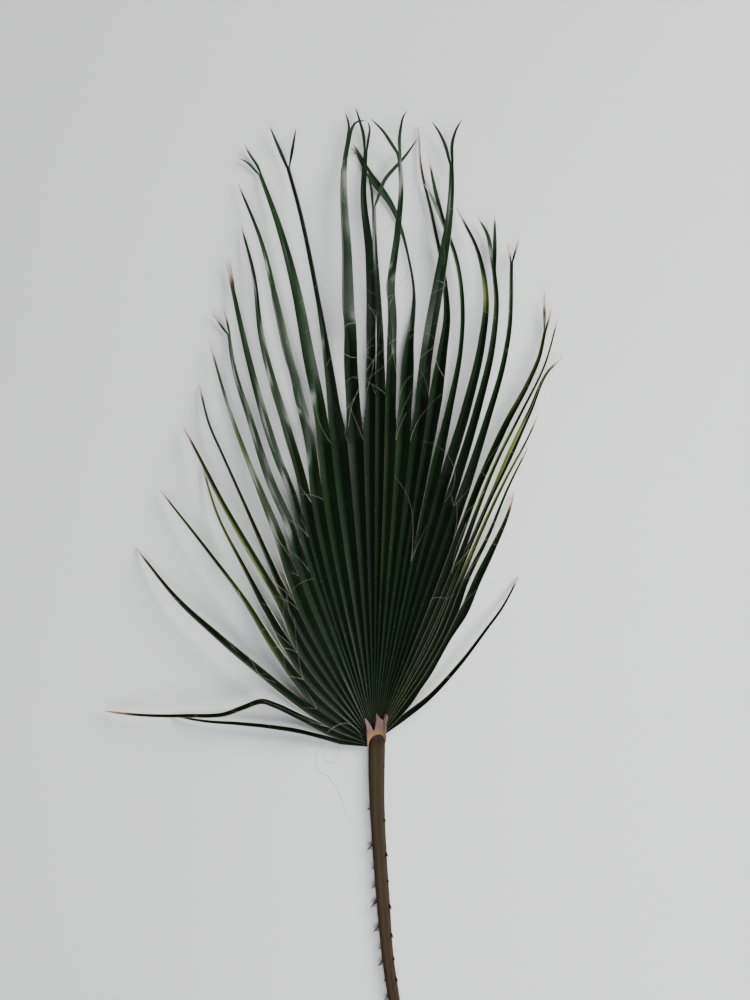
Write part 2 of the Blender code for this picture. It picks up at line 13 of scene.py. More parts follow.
import bpy
import numpy as np
from bpy.props import FloatProperty, FloatVectorProperty, IntProperty, PointerProperty
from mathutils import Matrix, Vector

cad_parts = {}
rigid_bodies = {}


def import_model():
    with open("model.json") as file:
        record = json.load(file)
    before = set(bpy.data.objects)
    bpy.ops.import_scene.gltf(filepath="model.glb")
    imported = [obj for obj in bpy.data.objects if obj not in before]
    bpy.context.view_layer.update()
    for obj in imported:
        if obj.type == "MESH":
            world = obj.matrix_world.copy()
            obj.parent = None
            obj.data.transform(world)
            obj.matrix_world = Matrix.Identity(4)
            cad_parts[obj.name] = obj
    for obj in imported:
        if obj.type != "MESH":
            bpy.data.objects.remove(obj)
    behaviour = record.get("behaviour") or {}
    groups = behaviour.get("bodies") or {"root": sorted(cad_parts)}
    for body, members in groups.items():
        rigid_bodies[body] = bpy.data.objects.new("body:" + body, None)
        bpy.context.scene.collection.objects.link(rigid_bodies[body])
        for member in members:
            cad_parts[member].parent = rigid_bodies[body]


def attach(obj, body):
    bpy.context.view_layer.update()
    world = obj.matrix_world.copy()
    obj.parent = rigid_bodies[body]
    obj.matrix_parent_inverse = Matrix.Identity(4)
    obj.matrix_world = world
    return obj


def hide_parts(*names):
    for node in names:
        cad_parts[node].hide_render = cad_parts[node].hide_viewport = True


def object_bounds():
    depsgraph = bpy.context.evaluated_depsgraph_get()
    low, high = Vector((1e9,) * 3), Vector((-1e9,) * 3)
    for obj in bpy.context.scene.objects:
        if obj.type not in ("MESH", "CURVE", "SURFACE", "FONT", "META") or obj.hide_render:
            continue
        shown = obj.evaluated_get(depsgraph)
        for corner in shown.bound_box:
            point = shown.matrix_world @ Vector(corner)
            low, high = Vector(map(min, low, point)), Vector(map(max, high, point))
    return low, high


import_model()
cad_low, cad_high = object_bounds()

bl_info = {
    "name": "Fan palm leaf",
    "version": (1, 0, 0),
    "blender": (4, 5, 0),
    "location": "3D View > Sidebar > Palm leaf",
    "description": "Builds the pleated blade, its threads, the toothed stalk, the hastula and the studio",
    "category": "Add Mesh",
}

MM = 0.001
REST_POINT = Vector((-6.8, 211.0))
BODY = "root"

# The blade's plan and folds, as in the solids
FOLD_ANGLE = math.radians(48)
CLOSED_FOLD = math.radians(62)
OPEN_FOLD = math.radians(20)
DEEPEST_PLEAT = 11.0
COLLAR_WIDTH = 11.0
COLLAR_LENGTH = 24.0
COLLAR_FIRST = -104.0
COLLAR_LAST = 66.0
HUB_HEIGHT = 6.0
LEVEL_FROM = 150.0
TROUGH_FROM = 45.0
TROUGH_SLOPE = 0.30
KEEL_DROP = 0.4
PARTING_RADII = (45, 65, 86, 121, 150, 192, 230, 270, 310, 345, 378, 435)
FREE_MARGIN_SHARE = 0.9
FREE_MARGIN_MOST = 1.1
EVEN_FROM = 0.2
EVEN_OVER = 0.3

# How the finer surface differs from the solids
RIB_RISE = 0.75
OPENING_RUN = 45.0
STANDING_FROM = math.radians(60)
STANDING_OVER = math.radians(30)
STANDING_SHORTER = 0.5
COLUMNS = (0.0, 0.14, 0.38, 0.64, 0.88, 1.0)
POINT_FROM = 0.94
POINT_NARROWS = 0.8
LOWEST = 0.05
TIP_HALF_WIDTH = 0.55
TIP_LIES_OVER = 0.35
TIP_BELLY = 1.4
TIP_BELLY_SHARE = 0.016
YELLOW_FADE = 0.05
JOINED_GREEN = 0.55
# Painted highlight: how pale the shared ridges are drawn near the hub, in the cream colour, and how far along a
# segment this fades out
HUB_RIDGE_HIGHLIGHT = 0.30
HUB_RIDGE_HIGHLIGHT_TO = 160.0
FOOT_TONE = 0.3

Segment = namedtuple("Segment", "path parts widths arch end tips fold")


def segment(path, parts, widths, arch, end, tips=(), fold=FOLD_ANGLE):
    return Segment(path, parts, widths, arch, end, tips, fold)


# The segments from left to right: the midrib's points, where it parts from its right neighbour, its widths
# at the middle and end of the free run or at each quarter of it, how high it climbs and ends, and the paths of
# its two tips
SEGMENTS = (
    segment(((-45, 0), (-60, 4.5), (-96, 14), (-134, 20), (-177, 24), (-209, 26), (-256, 33)), 45, (5, 2.5),
            10, 2, fold=CLOSED_FOLD),
    segment(((-47, 7), (-90, 29), (-127, 47), (-142, 52), (-165, 45), (-190, 36), (-234, 34), (-315, 36),
             (-340, 39)), 65, (5.5, 2.5), 24, 8, fold=CLOSED_FOLD),
    segment(((-64, 27), (-90, 44), (-146, 89), (-196, 131), (-246, 176), (-301, 242)), 86, (9, 2), 26, 0),
    segment(((-84, 60), (-119, 105), (-167, 181), (-209, 237), (-271, 315)), 121, (5.5, 2), 22, 6),
    segment(((-95, 93), (-134, 159), (-167, 221), (-199, 284), (-219, 347)), 150, (5, 2), 12, 1),
    segment(((-95, 119), (-124, 181), (-160, 242), (-194, 302), (-221, 355), (-242, 394)), 192, (7.5, 2),
            28, 8),
    segment(((-97, 147), (-125, 206), (-159, 284), (-194, 362), (-209, 396), (-222, 446)), 192, (4, 2.5),
            16, 2),
    segment(((-96, 179), (-120, 249), (-150, 325), (-179, 400), (-201, 471), (-209, 500)), 230, (6.5, 2),
            24, 6),
    segment(((-91, 214), (-111, 277), (-130, 319), (-157, 399), (-180, 475), (-185, 509)), 230, (10, 4),
            20, 5, tips=(((-194, 519), (-202, 530), (-208, 536)), ((-187, 524), (-192, 541)))),
    segment(((-87, 243), (-106, 312), (-124, 356), (-150, 440), (-171, 525), (-180, 565)), 270, (10, 5),
            24, 8, tips=(((-184, 582), (-188, 599)), ((-181, 582), (-184, 600)))),
    segment(((-83, 267), (-96, 334), (-122, 421), (-144, 506), (-155, 590), (-170, 646)), 310, (9, 2),
            18, 4),
    segment(((-74, 298), (-84, 377), (-106, 465), (-126, 552), (-144, 624), (-174, 699)), 310, (9.5, 2.2),
            26, 5),
    segment(((-64, 344), (-69, 396), (-85, 481), (-101, 565), (-125, 652), (-146, 709)), 378, (13, 4.5),
            20, 4, tips=(((-152, 714), (-162, 724), (-176, 731)), ((-150, 721), (-157, 731), (-166, 747)))),
    segment(((-49, 377), (-65, 502), (-81, 592), (-96, 662), (-111, 717)), 378, (6, 4.5), 26, 10,
            tips=(((-134, 769),), ((-101, 767),))),
    segment(((-26, 376), (-34, 502), (-37, 609), (-41, 709), (-40, 727)), 378, (14, 6), 20, 14,
            tips=(((-36, 756), (-35, 769), (-40, 787)), ((-36, 746), (-24, 775), (-12.5, 776)))),
    segment(((-8, 400), (-7, 502), (-9, 609), (-17, 684), (-14, 740)), 435, (12, 5), 8, 6,
            tips=(((-17, 759), (-21, 774), (-27, 793)), ((-11, 752), (-9.4, 769), (-12.5, 776)))),
    segment(((4, 430), (4, 502), (1, 565), (-2, 609), (-4, 669)), 435, (7, 5), 14, 16,
            tips=(((-7, 690), (-12, 713)), ((3, 685), (9, 701), (22, 717), (33, 729), (42, 741), (52, 756)))),
    segment(((16, 400), (18, 515), (17, 565), (26, 640), (30, 700), (28, 726)), 378, (10, 5), 26, 26,
            tips=(((26, 733), (19, 745), (7, 763), (-9, 779)), ((28, 754), (30, 769), (33, 781), (39, 789)))),
    segment(((32, 374), (40, 490), (46, 565), (40, 602), (19, 669), (-11, 712), (-24, 736)), 378,
            (19, 15, 7, 3.2, 3, 5.5, 10, 5), 3, 1, tips=(((-33, 738),), ((-31, 748),)), fold=OPEN_FOLD),
    segment(((53, 396), (65, 502), (82, 602), (89, 646), (93, 700), (93, 721)), 435, (14, 5.5), 26, 14,
            tips=(((84, 748), (76, 764), (67, 776)), ((94, 748), (99, 765), (107, 779)))),
    segment(((72, 424), (82, 490), (87, 527), (85, 571), (70, 652), (54, 727), (52, 769)), 230, (4.5, 2),
            4, 2),
    segment(((71, 333), (90, 415), (105, 496), (107, 534), (97, 611), (85, 643)), 345, (5.5, 4.5), 5, 6,
            tips=(((76, 664), (67, 684), (59, 697)), ((75, 680), (65, 727)))),
    segment(((84, 325), (110, 412), (131, 502), (136, 552), (127, 609), (99, 668)), 310, (9, 2.2), 24, 4),
    segment(((89, 297), (125, 415), (144, 496), (149, 552), (146, 590)), 310, (9, 5), 18, 8,
            tips=(((137, 636), (125, 657)), ((147, 659),))),
    segment(((94, 269), (137, 402), (157, 471), (164, 509), (168, 600)), 270, (7, 4), 26, 10,
            tips=(((164, 622),), ((177, 627),))),
    segment(((88, 214), (132, 334), (160, 396), (190, 452), (202, 480), (210, 515)), 230, (9, 4), 18, 8,
            tips=(((209, 562),), ((218, 542),))),
    segment(((66, 142), (95, 210), (151, 355), (180, 412), (209, 471), (226, 530)), 270, (4, 2), 30, 12),
    segment(((72, 140), (100, 208), (150, 325), (190, 412), (216, 466), (232, 481)), 230, (9, 2), 20, 6),
    segment(((78, 136), (105, 205), (161, 330), (190, 384), (201, 409)), 230, (4, 2), 30, 14),
    segment(((83, 133), (111, 202), (139, 259), (164, 319), (189, 369)), 192, (4, 2), 18, 4),
    segment(((65, 87), (89, 130), (110, 168), (122, 197), (141, 236), (164, 287), (171, 311)), 45, (9, 2),
            14, 3),
    segment(((35, 32), (60, 52), (104, 99), (136, 141), (154, 165), (177, 206)), 0, (4.5, 2), 16, 1,
            fold=CLOSED_FOLD),
)

# What sets a segment's looks apart: fresh is how light its green is at its tip and gives half as light a green
# at its foot, yellow lists the stretches, in shares of its length, that have yellowed, how much and on which half,
# dry is how long its straw-coloured tip is, pale is how cream its left margin, midrib and right margin are, and
# leans lists, for shares of the free run, how many degrees its left and its right half lean to the right.
Look = namedtuple("Look", "fresh yellow dry pale leans")
LEFT, RIGHT, BOTH = (1.0, 0.0), (0.0, 1.0), (1.0, 1.0)

# How the halves of a segment can lean: as a pleat, both towards the light, one standing and hiding behind the
# other, as a low roof whose right half is lit, nearly level, and away from the light
PLEAT = (48, -48)
LIT = (12, 10)
STANDING = (100, 13)
STANDING_LOW = (100, 9)
ROOF = (-14, 12)
LEVEL = (-2, -12)
AWAY = (-22, -60)


def look(fresh=0.3, yellow=(), dry=28.0, pale=(0.25, 0.0, 0.25), leans=()):
    turned = [(share, Vector(pair)) for share, pair in ((0, PLEAT), *leans)]
    return Look(fresh, yellow, dry, pale, turned + [(1.01, turned[-1][1])] if leans else [])


LOOKS = {
    0: look(0.3, pale=(0.2, 0.0, 0.9)),
    1: look(0.3, pale=(0.3, 0.0, 0.9), dry=45),
    2: look(0.4, pale=(0.8, 0.0, 0.4)),
    3: look(0.5, ((0.35, 0.7, 0.14, BOTH),), pale=(0.5, 0.0, 0.6)),
    4: look(0.5, ((0.70, 0.98, 0.35, BOTH),), pale=(0.6, 0.2, 0.6)),
    5: look(0.4, ((0.50, 0.83, 0.4, LEFT), (0.4, 0.95, 0.06, BOTH)), dry=30, pale=(0.6, 0.0, 0.3)),
    6: look(0.3, dry=26, pale=(0.5, 0.0, 0.5)),
    7: look(0.6, ((0.66, 0.81, 0.25, LEFT), (0.5, 0.95, 0.05, BOTH)), dry=28, pale=(0.6, 0.0, 0.3),
            leans=((0.1, PLEAT), (0.3, LIT))),
    8: look(0.6, dry=24, leans=((0.1, PLEAT), (0.3, LIT))),
    9: look(0.6, dry=34, leans=((0.1, PLEAT), (0.3, LIT), (0.55, LIT), (0.7, ROOF), (0.9, LEVEL))),
    10: look(0.4, ((0.45, 0.8, 0.03, BOTH),), dry=16,
             leans=((0.1, PLEAT), (0.3, STANDING_LOW), (0.52, LIT), (0.62, ROOF), (0.85, PLEAT))),
    11: look(0.6, dry=14, pale=(0.3, 0.0, 0.4),
             leans=((0.1, PLEAT), (0.26, (-25, 30)), (0.38, STANDING_LOW), (0.62, STANDING_LOW), (0.78, LEVEL))),
    12: look(0.8, dry=14, leans=((0.12, PLEAT), (0.25, ROOF), (0.5, ROOF), (0.65, LEVEL))),
    13: look(0.5, dry=5, leans=((0.08, (30, -56)), (0.35, (30, -56)), (0.5, AWAY))),
    14: look(0.4, dry=5, leans=((0.1, PLEAT), (0.2, (22, -80)), (0.45, STANDING), (0.62, STANDING),
                                (0.67, (100, 2)), (0.72, (100, 2)), (0.78, STANDING), (0.97, STANDING),
                                (1.0, LEVEL))),
    15: look(0.25, dry=5, leans=((0.1, PLEAT), (0.3, LEVEL), (1.0, LEVEL))),
    16: look(0.3, ((0.72, 1.0, 0.02, BOTH),), dry=5, pale=(0.15, 0.0, 0.3),
             leans=((0.2, PLEAT), (0.4, LIT))),
    17: look(0.4, ((0.2, 0.5, 0.03, BOTH),), dry=5, pale=(0.4, 0.0, 0.3),
             leans=((0.08, PLEAT), (0.2, STANDING), (0.48, STANDING), (0.56, LEVEL), (0.82, LEVEL), (0.9, LIT))),
    18: look(0.7, ((0.70, 0.80, 0.06, BOTH), (0.80, 0.88, 0.04, BOTH)), dry=8,
             leans=((0.35, PLEAT), (0.45, AWAY), (0.7, LEVEL))),
    19: look(0.4, dry=5, pale=(0.3, 0.0, 0.5),
             leans=((0.02, PLEAT), (0.4, LEVEL))),
    20: look(0.3, ((0.8, 1.0, 0.05, BOTH),), dry=70),
    21: look(0.8, ((0.75, 0.95, 0.04, BOTH),), dry=16),
    22: look(0.3, ((0.78, 0.88, 0.7, BOTH),), dry=28),
    23: look(0.3, ((0.7, 0.88, 0.06, BOTH),), dry=14),
    24: look(0.3, ((0.8, 0.95, 0.06, BOTH),), dry=22),
    25: look(0.3, ((0.7, 0.9, 0.12, LEFT),), dry=30, pale=(0.8, 0.0, 0.6)),
    26: look(0.3, ((0.5, 0.75, 0.2, LEFT),), dry=24, pale=(0.9, 0.3, 0.8)),
    27: look(0.3, ((0.60, 0.84, 0.5, LEFT),), dry=24, pale=(0.9, 0.7, 0.9)),
    28: look(0.3, ((0.45, 0.9, 0.25, BOTH),), pale=(0.9, 0.2, 0.9)),
    29: look(0.3, dry=26, pale=(0.9, 0.2, 0.9)),
    30: look(0.2, pale=(0.9, 0.0, 0.5)),
    31: look(0.2, dry=18, pale=(1.0, 0.0, 0.2)),
}

# Threads whose course is known, in plan
KNOWN_THREADS = (
    ((-36, 394), (-32, 418), (-22, 443), (-14, 462), (-1, 481), (20, 501), (41, 514), (66, 520), (85, 527)),
    ((-15, 451), (-5, 459), (9, 470), (17, 481), (20, 488)),
    ((-15, 422), (-13, 437), (-8, 455), (-4, 473), (-1, 487), (2, 504), (4, 520)),
    ((-42, 486), (-36, 482), (-29, 480), (-22, 480), (-14, 481), (-8, 479), (-5, 473), (-6, 466)),
    ((-17, 480), (-15, 487), (-8, 494), (1, 496), (9, 494)),
    ((-43, 515), (-37, 521), (-26, 524), (-17, 529), (-16, 537), (-21, 549), (-30, 552)),
    ((-11, 547), (-1, 527), (-1, 519), (-4, 506), (-10, 500), (-14, 493)),
    ((-13, 566), (-7, 561), (-1, 559)),
    ((41, 590), (23, 561), (14, 542), (11, 527), (13, 513), (17, 499), (20, 485), (25, 456)),
    ((6, 540), (6, 527), (6, 508), (8, 487), (10, 463)),
    ((74, 576), (80, 574), (86, 570), (79, 565), (70, 561), (63, 556)),
    ((40, 504), (47, 510), (63, 510), (75, 502)),
    ((75, 499), (69, 492), (60, 485), (49, 474)),
    ((-41, 411), (-30, 427), (-21, 442)),
    ((-42, 441), (-38, 450), (-29, 456), (-20, 452)),
    ((28, 431), (33, 446), (42, 457), (52, 461)),
    ((-63, 470), (-57, 480), (-48, 484), (-40, 479)),
    ((84, 455), (76, 470), (72, 486), (74, 500)),
    ((-63, 12), (-52, 20), (-40, 24), (-27, 18), (-19, 6), (-16, -6)),
    ((66, 176), (70, 180), (77, 181), (86, 180), (96, 184)),
    ((-202, 392), (-193, 403), (-185, 407)),
    ((-188, 357), (-179, 355), (-170, 350), (-164, 341), (-169, 329)),
    ((-68, -4), (-76, -18), (-74, -34), (-60, -44), (-48, -62), (-34, -96), (-12, -103)),
    ((-50, -2), (-47, -14), (-55, -26), (-66, -22), (-64, -10), (-52, -8)),
    ((-92, 6), (-101, -4), (-118, -9), (-131, -20)),
    ((134, 314), (122, 298), (110, 285), (100, 265)),
    ((111, 274), (96, 230), (94, 210)),
    ((116, 247), (106, 239)),
    ((115, 241), (100, 222)),
    ((139, 274), (124, 241), (118, 221), (112, 205)),
    ((129, 339), (137, 329)),
    ((70, 81), (93, 81), (105, 74), (105, 61), (95, 56), (79, 65)),
    ((86, 117), (97, 123), (105, 117), (109, 107)),
    ((-218, 155), (-193, 134), (-174, 113)),
    ((-182, 119), (-174, 120), (-158, 105), (-145, 84), (-126, 75)),
    ((-173, 190), (-168, 178)),
    ((-164, 244), (-155, 232)),
    ((-147, 138), (-136, 143), (-124, 136), (-107, 121)),
    ((-117, 111), (-114, 94)),
    ((-144, 174), (-130, 168), (-117, 161)),
    ((-128, 199), (-117, 191), (-101, 174)),
    ((-129, 266), (-120, 249), (-109, 232)),
)

# The stalk, as in the solids
PETIOLE_THICKNESS = 12.0
PETIOLE_PATH = ((-410, 38.0), (-322, 21.5), (-272, 14.0), (-197, 7.6), (-135, 3.2), (-72, 0.0), (24, 0.0))
PETIOLE_WIDTHS = ((-410, 14.0), (-270, 14.6), (-214, 16.0), (-147, 17.0), (-72, 18.6), (-10, 20.2), (24, 20.2))
PETIOLE_SECTION = (
    (-0.26, 0.0), (0.26, 0.0), (0.43, 0.20), (0.50, 0.55), (0.42, 0.90), (0.22, 1.0),
    (0.0, 0.985), (-0.22, 1.0), (-0.42, 0.90), (-0.50, 0.55), (-0.43, 0.20),
)
NOSE_LENGTH = 23.4
NOSE_TURN = math.radians(84)
NOSE_LIFT = 2.5
NOSE_THINNEST = 0.55
LEFT_TEETH = (
    (-41, 2.6), (-82, 5.0), (-130, 8.0), (-156, 4.4), (-179, 6.4), (-201, 9.0), (-232, 8.4),
    (-256, 5.0), (-275, 7.4), (-297, 3.4), (-319, 7.0), (-348, 5.5), (-376, 7.0),
)
RIGHT_TEETH = (
    (-29, 3.4), (-96, 5.0), (-139, 7.0), (-172, 4.6), (-204, 7.6), (-240, 7.0), (-269, 6.0),
    (-295, 6.6), (-330, 6.0), (-362, 6.6),
)
TOOTH_SINK = 2.0
TOOTH_HOOK = 0.62
TOOTH_PROFILE = ((0.0, 1.0), (0.35, 0.66), (0.7, 0.36), (1.0, 0.06))
LEFT_TOOTH_OUT, LEFT_TOOTH_STAND = (-0.97, 0.0, 0.24), 0.6
RIGHT_TOOTH_OUT, RIGHT_TOOTH_STAND = (0.42, 0.0, 0.91), 0.86
TOOTH_FOOT_SHARE = 0.46

# The hastula, as in the solids: each column runs from its foot to its ragged edge
HASTULA_FOOT_HEIGHT = 12.5
HASTULA_SLOPE = 0.233
HASTULA_COLUMNS = (
    ((-10.6, -7), (-12.3, -5)),
    ((-10.4, -3), (-13.2, 8)),
    ((-9.5, 1), (-13.8, 20)),
    ((-8, 4), (-15.2, 31)),
    ((-6, 6.5), (-9.4, 25)),
    ((-4, 8), (-4, 15)),
    ((-2, 9), (-2, 26)),
    ((0, 9.6), (-0.5, 37.5)),
    ((2.5, 10), (4.5, 31)),
    ((4.6, 9.6), (8.2, 28)),
    ((6.2, 8.7), (10.4, 36.5)),
    ((7.4, 7.5), (13, 35.5)),
    ((8.6, 5.3), (12.2, 24)),
    ((9.5, 2), (11.8, 11)),
    ((10, -2), (11.3, 2)),
)

# The camera looks straight down on this point of the plan, and sees this much of it from top to bottom
VIEW_CENTRE = Vector((-2.5, 302.5))
VIEW_HEIGHT = 1250.0
KEY_DISTANCE = 4.4
KEY_SIZE = 3.1
KEY_SPREAD = math.radians(110)
FILL_SPREAD = math.radians(65)
FILL_PLACE = (0.45, -1.6, 2.3)
FILL_SIZE = 1.6
LAMP_TARGET = (0.35, -0.25, 0.0)


class BladeProps(bpy.types.PropertyGroup):
    step: FloatProperty(name="Step", description="Spacing of the stations along a segment",
                        default=0.0055, min=0.003, unit="LENGTH")
    lamina: FloatProperty(name="Lamina", description="Thickness of the leaf's flesh",
                          default=0.00045, unit="LENGTH")
    bow: FloatProperty(name="Bow", description="How much each half of a fold arches, as a share of its width",
                       default=0.022)
    ripple: FloatProperty(name="Ripple", description="How far a free margin waves up and down",
                          default=0.0007, unit="LENGTH")
    deep: FloatVectorProperty(name="Deep green", description="The leaf's green in its valleys",
                              default=(0.0015, 0.0045, 0.0018), size=3, subtype="COLOR")
    fresh: FloatVectorProperty(name="Fresh green", description="The leaf's green where it is lightest",
                               default=(0.010, 0.034, 0.009), size=3, subtype="COLOR")
    yellowed: FloatVectorProperty(name="Yellowed", description="The green of stretches that have yellowed",
                                  default=(0.13, 0.17, 0.035), size=3, subtype="COLOR")
    straw: FloatVectorProperty(name="Straw", description="The dry tips",
                               default=(0.34, 0.25, 0.19), size=3, subtype="COLOR")
    rust: FloatVectorProperty(name="Rust", description="The red brown between the green and the straw",
                              default=(0.10, 0.056, 0.038), size=3, subtype="COLOR")
    # The cream colour also paints the highlight along the shared ridges near the hub
    cream: FloatVectorProperty(name="Cream", description="The fibre along the margins",
                               default=(0.46, 0.44, 0.30), size=3, subtype="COLOR")


class ThreadProps(bpy.types.PropertyGroup):
    diameter: FloatProperty(name="Diameter", description="Thickness of a thread at its root",
                            default=0.00042, unit="LENGTH")
    longest: FloatProperty(name="Longest", description="Length of the longest loose thread",
                           default=0.12, unit="LENGTH")
    per_parting: IntProperty(name="Per parting", description="Most threads where two segments part",
                             default=2)
    colour: FloatVectorProperty(name="Colour", description="The threads' pale fibre",
                                default=(0.30, 0.285, 0.215), size=3, subtype="COLOR")


class StalkProps(bpy.types.PropertyGroup):
    green: FloatVectorProperty(name="Green", description="The stalk where it is greenest, near the blade",
                               default=(0.023, 0.0195, 0.0085), size=3, subtype="COLOR")
    brown: FloatVectorProperty(name="Brown", description="The stalk's olive brown",
                               default=(0.027, 0.018, 0.009), size=3, subtype="COLOR")
    red: FloatVectorProperty(name="Red", description="The reddish brown of the cut end and of stains",
                             default=(0.018, 0.006, 0.008), size=3, subtype="COLOR")
    pith: FloatVectorProperty(name="Pith", description="The cut face",
                              default=(0.42, 0.34, 0.20), size=3, subtype="COLOR")
    horn: FloatVectorProperty(name="Horn", description="The teeth",
                              default=(0.020, 0.011, 0.008), size=3, subtype="COLOR")


class HastulaProps(bpy.types.PropertyGroup):
    thickness: FloatProperty(name="Thickness", description="Thickness of the papery flap",
                             default=0.0006, unit="LENGTH")
    paper: FloatVectorProperty(name="Paper", description="The flap's pinkish tan",
                               default=(0.14, 0.076, 0.066), size=3, subtype="COLOR")
    rim: FloatVectorProperty(name="Rim", description="The ochre along the flap's foot",
                             default=(0.19, 0.10, 0.025), size=3, subtype="COLOR")
    edge: FloatVectorProperty(name="Edge", description="The dark red of the flap's torn edges",
                              default=(0.055, 0.018, 0.018), size=3, subtype="COLOR")


class StudioProps(bpy.types.PropertyGroup):
    floor: FloatVectorProperty(name="Floor", description="The floor's pale grey",
                               default=(0.55, 0.555, 0.565), size=3, subtype="COLOR")
    key: FloatProperty(name="Key", description="The large soft lamp at the right", default=226.0, unit="POWER")
    fill: FloatProperty(name="Fill", description="The weaker lamp below it", default=19.0, unit="POWER")
    sky: FloatProperty(name="Sky", description="Strength of the even light all round", default=0.13)
    turn: FloatProperty(name="Key direction", description="Where the large lamp stands, round from +X",
                        default=math.radians(33), subtype="ANGLE")
    rise: FloatProperty(name="Key elevation", description="How high the large lamp stands over the floor",
                        default=math.radians(33), subtype="ANGLE")
    distance: FloatProperty(name="Camera distance", description="Height of the camera above the leaf",
                            default=10.0, unit="LENGTH")


def curve_through(points, per_span=14):
    """Dense points of a smooth curve through the given ones, with tangents set by the neighbours."""
    points = [Vector(point) for point in points]
    spans = [(b - a).length for a, b in zip(points, points[1:])]
    tangents = [(points[1] - points[0]) / spans[0]]
    for before, here, after, one, two in zip(points, points[1:], points[2:], spans, spans[1:]):
        tangents.append(((here - before) / one * two + (after - here) / two * one) / (one + two))
    tangents.append((points[-1] - points[-2]) / spans[-1])
    dense = []
    for i, span in enumerate(spans):
        for step in range(per_span):
            t = step / per_span
            dense.append(
                points[i] * (2 * t**3 - 3 * t**2 + 1)
                + tangents[i] * span * (t**3 - 2 * t**2 + t)
                + points[i + 1] * (3 * t**2 - 2 * t**3)
                + tangents[i + 1] * span * (t**3 - t**2)
            )
    dense.append(points[-1])
    return dense


def at_radius(dense, radius):
    """Where a dense curve first passes the given distance from the hub, and the rest of it from there."""
    for i, (a, b) in enumerate(zip(dense, dense[1:])):
        if b.length >= radius > a.length:
            here = a.lerp(b, (radius - a.length) / (b.length - a.length))
            return here, [here] + dense[i + 1:]
    return dense[-1], [dense[-1]]


def evenly(dense, step):
    """Points along a dense curve, about step apart, from its first point to its last."""
    lengths = [0.0]
    for a, b in zip(dense, dense[1:]):
        lengths.append(lengths[-1] + (b - a).length)
    count = max(3, round(lengths[-1] / step))
    found, j = [dense[0]], 0
    for n in range(1, count):
        target = lengths[-1] * n / count
        while lengths[j + 1] < target:
            j += 1
        found.append(dense[j].lerp(dense[j + 1], (target - lengths[j]) / (lengths[j + 1] - lengths[j])))
    return found + [dense[-1]]


def through(pairs, x):
    """The value at x of the straight runs through the (x, value) pairs."""
    for (x0, v0), (x1, v1) in zip(pairs, pairs[1:]):
        if x <= x1:
            return v0 + (v1 - v0) * (x - x0) / (x1 - x0)
    return pairs[-1][1]


def eased(t):
    t = min(max(t, 0.0), 1.0)
    return t * t * (3 - 2 * t)


def mixed(a, b, share):
    return a + (b - a) * share


def polar(radius, bearing):
    return Vector((radius * math.sin(bearing), radius * math.cos(bearing)))


def bearing_of(point):
    return math.atan2(point.x, point.y)


def collar_point(degrees):
    angle = math.radians(degrees)
    return Vector((COLLAR_WIDTH * math.sin(angle), COLLAR_LENGTH * math.cos(angle)))


def keel_height(point):
    """How high the underside of a midrib runs in the shared part of the fan."""
    fall = HUB_HEIGHT * (1 - eased(point.length / LEVEL_FROM))
    return fall + TROUGH_SLOPE * max(0.0, abs(point.x) - TROUGH_FROM)


def across_of(points, i):
    """The unit direction to the right of the way a plane curve runs at point i."""
    ahead = points[min(i + 1, len(points) - 1)] - points[max(i - 1, 0)]
    ahead.normalize()
    return Vector((ahead.y, -ahead.x))


def width_along(start, one, share):
    """What is seen of a segment's width: straight runs through its quarters where these are given, or else a
    curve from its start to its middle and then a straight taper."""
    middle, end = one.widths[0], one.widths[-1]
    if len(one.widths) > 2:
        width = through([(i / len(one.widths), wide) for i, wide in enumerate((start, *one.widths))], share)
    elif share > 0.5:
        width = middle + (end - middle) * (2 * share - 1)
    else:
        width = (
            start * (1 - share) * (1 - 2 * share)
            + middle * 4 * share * (1 - share)
            + end * share * (2 * share - 1)
        )
    if not one.tips:
        width *= 1 - POINT_NARROWS * eased((share - POINT_FROM) / (1 - POINT_FROM))
    return width


# One cross-section of a segment, in millimetres: the midrib's place, the vectors from it to the left and right
# margin, the unit direction to the right, how far along the segment it is, and how much of each margin is still
# joined to the neighbour's
Section = namedtuple("Section", "rib left right across along joined")


